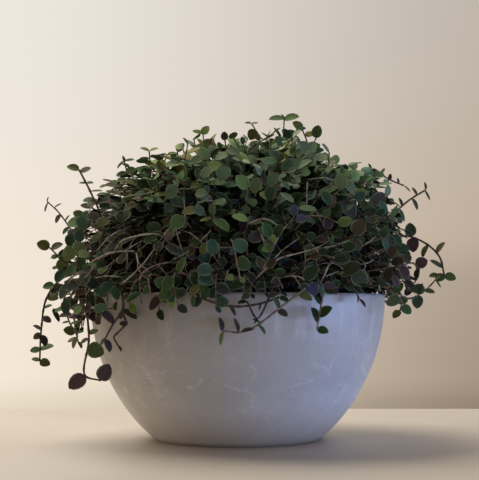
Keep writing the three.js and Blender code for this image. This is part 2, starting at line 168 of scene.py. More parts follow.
# ---------------------------------------------------------------- materials
class Finish:
    """The nodes of a material or of the world, with short ways to add and join them."""

    def __init__(self, owner):
        owner.use_nodes = True
        self.owner = owner
        self.nodes = owner.node_tree.nodes

    def add(self, kind, inputs=None, **settings):
        node = self.nodes.new("ShaderNode" + kind)
        for key, value in settings.items():
            setattr(node, key, value)
        for key, value in (inputs or {}).items():
            self.feed(node, key, value)
        return node

    def feed(self, node, key, value):
        """Joins an output to an input, or sets the input to a number, a vector or a colour."""
        socket = node.inputs[key]
        if isinstance(value, bpy.types.NodeSocket):
            self.owner.node_tree.links.new(value, socket)
        else:
            socket.default_value = (*value, 1) if socket.type == "RGBA" else value

    def coords(self, scale=None):
        where = self.add("TexCoord").outputs["Object"]
        return self.add("Mapping", {"Vector": where, "Scale": scale}).outputs[0] if scale else where

    def noise(self, scale, detail=3.0, rough=0.55, stretch=None, out="Fac"):
        inputs = {"Vector": self.coords(stretch), "Scale": scale, "Detail": detail, "Roughness": rough}
        return self.add("TexNoise", inputs).outputs[out]

    def maths(self, operation, a, b=0.0):
        return self.add("Math", {0: a, 1: b}, operation=operation).outputs[0]

    def spread(self, value, low, high, to_low=0.0, to_high=1.0):
        """value, from low to high, smoothly made to_low to to_high."""
        inputs = {0: value, 1: low, 2: high, 3: to_low, 4: to_high}
        return self.add("MapRange", inputs, interpolation_type="SMOOTHSTEP").outputs[0]

    def mix(self, share, a, b, blend="MIX"):
        return self.add("Mix", {0: share, 6: a, 7: b}, data_type="RGBA", blend_type=blend).outputs[2]

    def bump(self, height, distance, strength=1.0, under=None):
        node = self.add("Bump", {"Strength": strength, "Distance": distance, "Height": height})
        if under:
            self.feed(node, "Normal", under)
        return node.outputs[0]

    def split(self, vector):
        return self.add("SeparateXYZ", {0: vector}).outputs

    def dress(self, colour, rough, normal=None, shine=0.5):
        """The material, with its shader joined to what was made."""
        shader = self.nodes["Principled BSDF"]
        for key, value in (("Base Color", colour), ("Roughness", rough), ("Specular IOR Level", shine)):
            self.feed(shader, key, value)
        if normal:
            self.feed(shader, "Normal", normal)
        return self.owner


def finish_of(name):
    return Finish(bpy.data.materials.new(name))


def leaf_finish(name, gloss, shine):
    """A fleshy leaf: its own tone, a paler margin that is partly its own edge and partly a painted rim light,
    faint long veins and a soft mottle.
    """
    finish = finish_of(name)
    colour = finish.add("Attribute", attribute_name="leaf_tone").outputs["Color"]
    across, along, _ = finish.split(finish.add("UVMap", uv_map="leaf_map").outputs[0])
    from_rib = finish.maths("ABSOLUTE", finish.maths("SUBTRACT", across, 0.5))
    margin = finish.maths("MULTIPLY", finish.spread(from_rib, 0.36, 0.48), 0.5)
    veins = finish.maths("SINE", finish.maths("MULTIPLY", across, 62.0))
    mottle = finish.noise(420, 2, 0.6)
    for share, tint, blend in (
        (finish.spread(mottle, 0.3, 0.7, 0, 0.35), (0.62, 0.66, 0.6), "MULTIPLY"),
        (finish.spread(finish.noise(55, 2), 0.3, 0.7, 0, 0.3), (1.35, 1.3, 1.1), "MULTIPLY"),
        (finish.spread(veins, -1, 1, 0, 0.14), (1.5, 1.5, 1.3), "MULTIPLY"),
        # The paler margin: partly the leaf's own edge, partly a painted rim light.
        (margin, (1.7, 1.7, 1.6), "MULTIPLY"),
        (margin, (0.25, 0.32, 0.17), "MIX"),
        (finish.spread(along, 0.0, 0.14, 0.35, 0), (0.11, 0.09, 0.06), "MIX"),
    ):
        colour = finish.mix(share, colour, tint, blend)
    height = finish.maths("ADD", finish.maths("MULTIPLY", veins, 0.25), mottle)
    rough = finish.spread(mottle, 0.25, 0.75, gloss, gloss + 0.16)
    return finish.dress(colour, rough, finish.bump(height, 0.00012, 0.6), shine)


def stem_finish(name, pale, green, brown):
    """A thin jointed stem: pinkish tan, green in places and browner in others."""
    finish = finish_of(name)
    streak = finish.noise(240, 3, 0.6)
    colour = finish.mix(finish.spread(finish.noise(28, 2), 0.4, 0.62), pale, green)
    colour = finish.mix(finish.spread(streak, 0.42, 0.7), colour, brown)
    return finish.dress(colour, finish.spread(streak, 0.3, 0.7, 0.4, 0.62), finish.bump(streak, 0.0002, 0.7))


def heart_finish():
    """The inside of the mound: old leaves and stems, dull, and painted near black as the shade that fills it.
    """
    finish = finish_of("old_growth_painted_shade")
    patch = finish.noise(150, 4, 0.65)
    # Painted shade: the heart is near black, darker than any leaf, as the deep shade inside the mound.
    colour = finish.mix(finish.spread(patch, 0.35, 0.65), (0.004, 0.004, 0.003), (0.014, 0.012, 0.008))
    return finish.dress(colour, finish.spread(patch, 0.3, 0.7, 0.75, 0.95), finish.bump(patch, 0.004))


LEAF_SKINS = {
    "mound_leaves": leaf_finish("mound_leaf_skin", 0.52, 0.05),
    "green_vine": leaf_finish("green_leaf_skin", 0.42, 0.12),
    "olive_vine": leaf_finish("olive_leaf_skin", 0.44, 0.12),
    "plum_vine": leaf_finish("plum_leaf_skin", 0.4, 0.18),
}
STEM_SKIN = stem_finish("stem_skin", (0.32, 0.23, 0.18), (0.22, 0.19, 0.12), (0.09, 0.042, 0.036))
DARK_STEM_SKIN = stem_finish(
    "dark_stem_skin", (0.10, 0.058, 0.052), (0.075, 0.05, 0.035), (0.035, 0.016, 0.015)
)
BARE_STEM_SKIN = stem_finish("bare_stem_skin", (0.40, 0.335, 0.275), (0.29, 0.28, 0.19), (0.13, 0.075, 0.063))

# ---------------------------------------------------------------- the leaf, modelled once in a few forms
LEAF_ROWS = [0, 0.075, 0.22, 0.42, 0.64, 0.86, 1]
LEAF_HALVES = [0, 0.55, 0.88, 1, 0.9, 0.56, 0]
LEAF_THICK = 0.085


def read(items, attribute, kind, width=1):
    values = np.zeros(len(items) * width, kind)
    items.foreach_get(attribute, values)
    return values.reshape(-1, width)


def flat_leaf():
    """A flat leaf, 1 long and 1 wide: its base at the origin, its tip towards +X and its face towards +Z."""
    pick_out()
    bpy.ops.mesh.primitive_grid_add(x_subdivisions=6, y_subdivisions=4, size=2)
    leaf = bpy.context.object
    edit_all()
    bpy.ops.mesh.duplicate()
    bpy.ops.mesh.flip_normals()
    bpy.ops.object.mode_set(mode="OBJECT")
    for vertex in leaf.data.vertices:
        row, across = round((vertex.co.x + 1) * 3), vertex.co.y
        half = LEAF_HALVES[row]
        plump = LEAF_THICK * half * (1 - across**2) * (-0.55 if vertex.select else 0.45)
        vertex.co = (LEAF_ROWS[row], across * half / 2, plump)
    edit_all()
    bpy.ops.mesh.remove_doubles(threshold=0.0004)
    bpy.ops.object.mode_set(mode="OBJECT")
    mesh = leaf.data
    under = np.zeros(len(mesh.loops), bool)
    for face in mesh.polygons:
        under[face.loop_start : face.loop_start + face.loop_total] = face.normal.z < 0
    leaf_parts = {
        "points": read(mesh.vertices, "co", float, 3),
        "corners": read(mesh.loops, "vertex_index", int)[:, 0],
        "starts": read(mesh.polygons, "loop_start", int)[:, 0],
        "map": read(mesh.uv_layers[0].data, "uv", float, 2)[:, ::-1],
        "under": under,
    }
    bpy.data.objects.remove(leaf)
    return leaf_parts


FLAT_LEAF = flat_leaf()


def bent_leaf(breadth, cup, curl, fold):
    """The points of the flat leaf with its sides cupped or folded up and its tip curled down."""
    along, side, plump = FLAT_LEAF["points"].T
    half = np.interp(along, LEAF_ROWS, LEAF_HALVES)
    across = 2 * side / np.maximum(half, 0.01)
    lift = (cup * across**2 + fold * np.abs(across)) * half - curl * along**2.2
    return np.stack([along, side * breadth, plump + lift], axis=1)


LEAF_FORMS = np.stack([
    bent_leaf(0.80, 0.05, 0.05, 0.0),
    bent_leaf(0.84, 0.12, 0.02, 0.0),
    bent_leaf(0.74, 0.04, 0.18, 0.03),
    bent_leaf(0.46, 0.02, 0.08, 0.2),
    bent_leaf(0.92, 0.07, 0.1, 0.0),
    bent_leaf(0.76, -0.05, 0.1, -0.03),
])
PLAIN, CUPPED, CURLED, FOLDED, ROUND, ARCHED = range(6)
FORM_MIX = [PLAIN, CUPPED, CURLED, ROUND, ARCHED, CUPPED, ROUND, PLAIN, CURLED, FOLDED]
OPEN_FORMS = [PLAIN, CUPPED, ROUND]

# Tones of the leaves' faces, and of their undersides.
TONES = {
    "mid": (0.061, 0.110, 0.040),
    "fresh": (0.125, 0.182, 0.056),
    "dark": (0.029, 0.051, 0.024),
    "sage": (0.081, 0.124, 0.068),
    "dull": (0.056, 0.066, 0.042),
    "teal": (0.044, 0.084, 0.047),
    "pale_teal": (0.058, 0.112, 0.072),
    "olive": (0.110, 0.116, 0.036),
    "plum": (0.072, 0.044, 0.044),
    "brown": (0.066, 0.051, 0.034),
    "lime": (0.165, 0.215, 0.066),
    # A plum leaf with a painted bluish sheen of reflected sky.
    "violet": (0.072, 0.071, 0.130),
    "mauve": (0.080, 0.055, 0.068),
}
UNDERSIDES = [(0.034, 0.057, 0.024), (0.043, 0.049, 0.024), (0.034, 0.060, 0.026), (0.038, 0.052, 0.022)]


def leaf_row(base, direction, normal, length, form, tone, draw, light=1.0, painted_cool_light=0.0, glow=0.0):
    """All that one leaf needs. Its light argument paints light and shade into its tone, paler or darker; the
    next argument paints in a bluish cool light and the last a redder glow of light shining through the leaf.
    """
    under = pick(UNDERSIDES, draw)
    # The underside's tone, with painted light and shade.
    shade = (0.7 + 0.6 * draw()) * light
    depth = (1.03 + (0.62 if light < 1 else 0.34) * (draw() - 0.5)) * light
    warm = 0.9 + 0.2 * draw()
    r, g, b = TONES[tone]
    # The face's tone, with painted light and shade, a painted bluish cool light and a painted glow of light
    # shining through.
    face = (r * depth * warm * (1 + glow), g * depth * (1 - 0.1 * painted_cool_light), b * depth * (2 - warm) * (1 + painted_cool_light))
    return (base, direction, normal, length, form, face, tuple(c * shade for c in under))


def leaves_object(name, rows, skin):
    """The leaves of one piece in one mesh, each a copy of a leaf form."""
    bases, directions, normals, lengths, forms, faces, backs = map(np.array, zip(*rows))
    turns = np.stack([directions, np.cross(normals, directions), normals], axis=1) * lengths[:, None, None]
    points = (np.einsum("nvi,nij->nvj", LEAF_FORMS[forms], turns) + bases[:, None]) * MM
    nth = np.arange(len(rows))[:, None]
    corners = FLAT_LEAF["corners"] + nth * LEAF_FORMS.shape[1]
    starts = FLAT_LEAF["starts"] + nth * len(FLAT_LEAF["corners"])
    mesh = bpy.data.meshes.new(name)
    for items, attribute, values, width in (
        (mesh.vertices, "co", points, 3),
        (mesh.loops, "vertex_index", corners.astype(np.int32), 1),
        (mesh.polygons, "loop_start", starts.astype(np.int32), 1),
    ):
        items.add(values.size // width)
        items.foreach_set(attribute, values.ravel())
    mesh.update(calc_edges=True)
    mesh.validate()
    mapped = mesh.uv_layers.new(name="leaf_map")
    mapped.data.foreach_set("uv", np.tile(FLAT_LEAF["map"], (len(rows), 1)).ravel())
    rgb = np.where(FLAT_LEAF["under"][None, :, None], backs[:, None], faces[:, None])
    rgba = np.concatenate([rgb, np.ones((*rgb.shape[:2], 1))], axis=2)
    tones = mesh.color_attributes.new("leaf_tone", "FLOAT_COLOR", "CORNER")
    tones.data.foreach_set("color", rgba.ravel())
    mesh.materials.append(skin)
    return placed(name, mesh)


def stems_object(name, stems, skin):
    """Stems as tubes. A stem is an evenly spaced path and its radius at each point."""
    curve = bpy.data.curves.new(name, "CURVE")
    curve.dimensions = "3D"
    curve.bevel_depth = MM
    curve.bevel_resolution = 1
    curve.use_fill_caps = True
    for path, radii in stems:
        spline = curve.splines.new("POLY")
        spline.points.add(len(path) - 1)
        spline.points.foreach_set("co", np.c_[path * MM, np.ones(len(path))].ravel())
        spline.points.foreach_set("radius", radii)
    pick_out(placed(name, curve))
    bpy.ops.object.convert(target="MESH")
    piece = bpy.context.object
    piece.data.materials.clear()
    piece.data.materials.append(skin)
    return piece


def jointed(path, thick, thin, pitch):
    """A stem along path, from thick to thin, with a swollen joint at each leaf from the tip back."""
    share = np.linspace(0, 1, len(path))
    from_tip = (1 - share) * path_length(path)
    joint = np.cos(2 * math.pi * from_tip / pitch).clip(0.6, 1) - 0.6
    return path, (thick + (thin - thick) * share) * (1 + 0.8 * joint)


def leafy_piece(name, rows, stems, slot, node, stem_skin=STEM_SKIN):
    """Leaves and the stems that carry them, as one piece."""
    leaves = leaves_object(name, rows, LEAF_SKINS[slot])
    pick_out(leaves, stems_object(name + "_stems", stems, stem_skin))
    bpy.ops.object.join()
    finished(leaves, None, LEAF_SMOOTH, slot, node)


def leaves_along(path, count, pitch, length, facing, draw):
    """Places of leaves from the tip backwards on alternate sides, each with its face turned to facing."""
    places = []
    for k in range(count):
        base, tangent = on_path(path, k * pitch + 0.5)
        forward = 0.5 + 0.35 * draw() if k else 1.1
        side = unit(np.cross(tangent, facing)) * (1 if k % 2 else -1)
        direction = unit(side + tangent * forward + facing * (0.45 * (draw() - 0.35)))
        tilt = 0.9 * (draw() - 0.5)
        flat = unit(facing - direction * np.dot(facing, direction))
        grown = length * (0.8 + 0.3 * draw()) * (1 if k else 0.8)
        places.append((base, direction, turned_about(flat, direction, tilt), grown))
    return places


def aimed(points, turned, draw):
    """A leaf's direction and the way its face looks, from how both are seen from the front."""
    angle = math.radians(points)
    direction = unit(np.array([math.cos(angle), -0.3 * draw(), math.sin(angle)]))
    flat = unit(FRONT - direction * np.dot(FRONT, direction))
    upward = 1 if np.cross(direction, flat)[2] > 0 else -1
    return direction, turned_about(flat, direction, upward * math.acos(min(turned, 1)))


def listed_rows(path, leaves, aim, draw, form=None, **light):
    """The leaf rows of leaves that are listed one by one. They are all aimed before any is drawn up."""
    places = [
        (on_path(path, back)[0], *aimed(points, turned, aim), length, tone)
        for back, points, length, turned, tone in leaves
    ]
    return [
        leaf_row(*place, pick(OPEN_FORMS, draw) if form is None else form, tone, draw, **light)
        for *place, tone in places
    ]


# ---------------------------------------------------------------- the bowl
RIM_RADIUS, BOWL_HEIGHT, FOOT_RADIUS = 125, 122, 69.5
WALL, FLOOR, FOOT_BEVEL = 6, 9, 1.2
BOWL_STEPS, SOIL_STEPS = 128, 112
ELLIPSE_WIDEST_Z = BOWL_HEIGHT + 3
ELLIPSE_RADIUS = RIM_RADIUS + 0.5
ELLIPSE_DEPTH = ELLIPSE_WIDEST_Z / math.sin(math.acos(FOOT_RADIUS / ELLIPSE_RADIUS))
SOIL_EDGE_DROP, SOIL_CROWN, SEAT_GAP = 4, 12, 0.5
CRUMB_FROM, CRUMB_EDGE, CRUMB_HEIGHT = 113, 6, 1.5
VEIN_WARP = (0.045, 0.045, 0.03)


def turn_at(z):
    return math.asin((ELLIPSE_WIDEST_Z - z) / ELLIPSE_DEPTH)


def bowl_radius(z):
    return ELLIPSE_RADIUS * math.cos(turn_at(z))


def soil_top(r):
    return BOWL_HEIGHT - SOIL_EDGE_DROP + SOIL_CROWN * (1 - (r / (RIM_RADIUS - WALL)) ** 2)


def thrown(name, profile, steps):
    """A profile of (radius, height) drawn point by point from the axis and spun about it."""
    pick_out()
    r, z = profile[0]
    bpy.ops.mesh.primitive_plane_add(size=0.01, location=(r * MM, 0, z * MM))
    piece = bpy.context.object
    piece.name = name
    bpy.ops.object.transform_apply(location=True)
    edit_all()
    bpy.ops.mesh.merge(type="CENTER")
    for (r0, z0), (r1, z1) in zip(profile, profile[1:]):
        shift = ((r1 - r0) * MM, 0, (z1 - z0) * MM)
        bpy.ops.mesh.extrude_region_move(TRANSFORM_OT_translate={"value": shift})
    bpy.ops.mesh.select_all(action="SELECT")
    bpy.ops.mesh.spin(steps=steps, angle=2 * math.pi, center=(0, 0, 0), axis=(0, 0, 1))
    bpy.ops.mesh.select_all(action="SELECT")
    bpy.ops.mesh.remove_doubles(threshold=0.00003)
    bpy.ops.mesh.normals_make_consistent(inside=False)
    bpy.ops.object.mode_set(mode="OBJECT")
    return piece


def bowl_profile():
    lip = WALL / 2
    low, high = turn_at(FOOT_BEVEL), turn_at(BOWL_HEIGHT - lip)
    outside = [
        (ELLIPSE_RADIUS * math.cos(t), ELLIPSE_WIDEST_Z - ELLIPSE_DEPTH * math.sin(t))
        for t in np.linspace(low, high, 40)
    ]
    foot = [
        (FOOT_RADIUS - FOOT_BEVEL + FOOT_BEVEL * math.sin(a), FOOT_BEVEL * (1 - math.cos(a)))
        for a in np.radians([0, 22, 45, 68])
    ]
    lip_centre = bowl_radius(BOWL_HEIGHT - lip) - lip
    rim = [
        (lip_centre + lip * math.cos(a), BOWL_HEIGHT - lip + lip * math.sin(a))
        for a in np.radians(np.linspace(12, 168, 10))
    ]
    inside = [(bowl_radius(z) - WALL, z) for z in np.linspace(BOWL_HEIGHT - lip, FLOOR + 10, 22)]
    corner = bowl_radius(FLOOR) - WALL - 6
    floor = [(corner + 1.5, FLOOR + 3.2), (corner, FLOOR + 1), (corner - 5, FLOOR), (0, FLOOR)]
    return [(0, 0), (40, 0), *foot, *outside, *rim, *inside, *floor]


def bowl_finish():
    """Pale grey stone look: clouded, with soft runs under the rim and thin wandering white veins. Light and
    shade are painted in too: painted shade from the middle up, painted bounce light from the floor near the
    foot, a painted shadow of the leaves under the rim at the left, and a painted dark line of shade at the
    very foot.
    """
    finish = finish_of("bowl_stone_look")
    across, _, height = finish.split(finish.coords())
    cloud, blotch, grain = finish.noise(13, 4, 0.6), finish.noise(42, 4, 0.62), finish.noise(650, 2, 0.6)
    runs = finish.noise(1, 3, 0.6, (95, 95, 9))

    def both(a, b):
        return finish.maths("MULTIPLY", finish.spread(*a), finish.spread(*b))

    colour = finish.mix(finish.spread(cloud, 0.32, 0.68), (0.56, 0.545, 0.525), (0.69, 0.675, 0.655))
    for share, tint in (
        (finish.spread(blotch, 0.42, 0.72, 0, 0.45), (0.52, 0.50, 0.48)),
        (finish.spread(grain, 0.35, 0.65, 0, 0.12), (0.74, 0.73, 0.72)),
        # Painted shade: the bowl is darker from its middle up, where the leaves shade it.
        (finish.spread(height, 0.03, 0.055, 0, 0.6), (0.40, 0.387, 0.376)),
        # Painted light: the bowl is paler towards the foot, as if lit by light bounced up from the floor.
        (finish.spread(height, 0.0, 0.042, 0.8, 0), (0.88, 0.865, 0.845)),
        (both((runs, 0.52, 0.72), (height, 0.045, 0.118, 0, 0.5)), (0.80, 0.795, 0.79)),
        (both((runs, 0.47, 0.3), (height, 0.05, 0.12, 0, 0.35)), (0.48, 0.46, 0.44)),
    ):
        colour = finish.mix(share, colour, tint)
    warp = finish.noise(26, 6, 0.66, out="Color")
    bent_inputs = {0: warp, 1: VEIN_WARP, 2: finish.coords((1, 1, 1.9))}
    bent = finish.add("VectorMath", bent_inputs, operation="MULTIPLY_ADD").outputs[0]
    low = finish.spread(height, 0.03, 0.105, 0.85, 0.2)
    for scale, thin, wide, patches, clear, amount in (
        (27, 0.022, 0.13, 34, 0.44, 0.9),
        (72, 0.04, 0.17, 19, 0.5, 0.55),
    ):
        cells = finish.add("TexVoronoi", {"Vector": bent, "Scale": scale}, feature="DISTANCE_TO_EDGE")
        edge = cells.outputs["Distance"]
        line = finish.spread(edge, 0.0, thin, amount, 0)
        halo = finish.spread(edge, 0.0, wide, 0.3 * amount, 0)
        broken = finish.spread(finish.noise(patches, 6, 0.72), clear, clear + 0.14)
        there = finish.maths("MULTIPLY", broken, low)
        vein = finish.maths("MULTIPLY", finish.maths("MAXIMUM", line, halo), there)
        colour = finish.mix(vein, colour, (0.86, 0.85, 0.83))
    for share, tint in (
        # Painted shadow: the leaves' shade under the rim on the left side of the bowl.
        (both((across, -0.11, 0.03, 1, 0.3), (height, 0.045, 0.112, 0, 0.72)), (0.22, 0.195, 0.175)),
        (finish.spread(height, 0.1195, 0.1215, 0, 0.4), (0.72, 0.71, 0.7)),
        # Painted shade: a darker line at the very foot, where the bowl meets the floor.
        (finish.spread(height, 0.0005, 0.004, 0.2, 0), (0.30, 0.28, 0.26)),
    ):
        colour = finish.mix(share, colour, tint)
    fine = finish.bump(grain, 0.00005, 0.5, finish.bump(blotch, 0.0006, 0.35))
    return finish.dress(colour, finish.spread(blotch, 0.3, 0.7, 0.34, 0.5), fine)


finished(thrown("bowl_shell", bowl_profile(), BOWL_STEPS), bowl_finish(), BOWL_SMOOTH, "bowl", "bowl")


# ---------------------------------------------------------------- the soil
def soil_finish():
    """Dark, crumbly potting soil with a few paler grains."""
    finish = finish_of("potting_soil")
    lumps = finish.noise(190, 5, 0.7)
    grain_inputs = {"Vector": finish.coords(), "Scale": 330}
    grains = finish.add("TexVoronoi", grain_inputs, feature="F1").outputs["Distance"]
    colour = finish.mix(finish.spread(lumps, 0.3, 0.7), (0.012, 0.009, 0.007), (0.055, 0.04, 0.03))
    chance = finish.spread(finish.noise(120, 1), 0.62, 0.66)
    speck = finish.maths("MULTIPLY", finish.spread(grains, 0.3, 0.2), chance)
    colour = finish.mix(speck, colour, (0.38, 0.35, 0.3))
    crumbs = finish.bump(grains, 0.0012, 0.8, finish.bump(lumps, 0.003))
    return finish.dress(colour, finish.spread(lumps, 0.3, 0.7, 0.96, 0.82), crumbs)


def make_soil():
    side = [(bowl_radius(z) - WALL - SEAT_GAP, z) for z in np.linspace(FLOOR + 10, 112, 9)]
    edge = bowl_radius(soil_top(RIM_RADIUS - WALL)) - WALL - SEAT_GAP
    crown = [(r, soil_top(r)) for r in np.linspace(edge, 0, 34)]
    foot = bowl_radius(FLOOR) - WALL - 6.5
    profile = [(0, FLOOR + SEAT_GAP), (foot - 6, FLOOR + SEAT_GAP), (foot, FLOOR + 2.5), *side, *crown]
    soil = thrown("soil_crumb", profile, SOIL_STEPS)
    for vertex in soil.data.vertices:
        r = math.hypot(vertex.co.x, vertex.co.y) / MM
        if vertex.co.z / MM > CRUMB_FROM and r < edge - 1:
            rough = noise.fractal(vertex.co * 130, 0.8, 2.1, 4) * CRUMB_HEIGHT
            vertex.co.z += rough * min(1, (edge - r) / CRUMB_EDGE) * MM
    finished(soil, soil_finish(), SOIL_SMOOTH, "soil", "soil")


make_soil()

# ---------------------------------------------------------------- the runners that trail over the rim
ROOT_RING, ROOT_DEPTH, VINE_PITCH = 104, 8, 10.3
BACK_RUNNERS, BACK_LEAVES, BACK_LEAF_LENGTH = 7, 9, 12.2
FIRST_BEARING, BEARING_STEP = 32, 19.5
BACK_TONES = {"green": "mid teal dark fresh mid", "olive": "olive mid brown", "plum": "plum dark plum"}

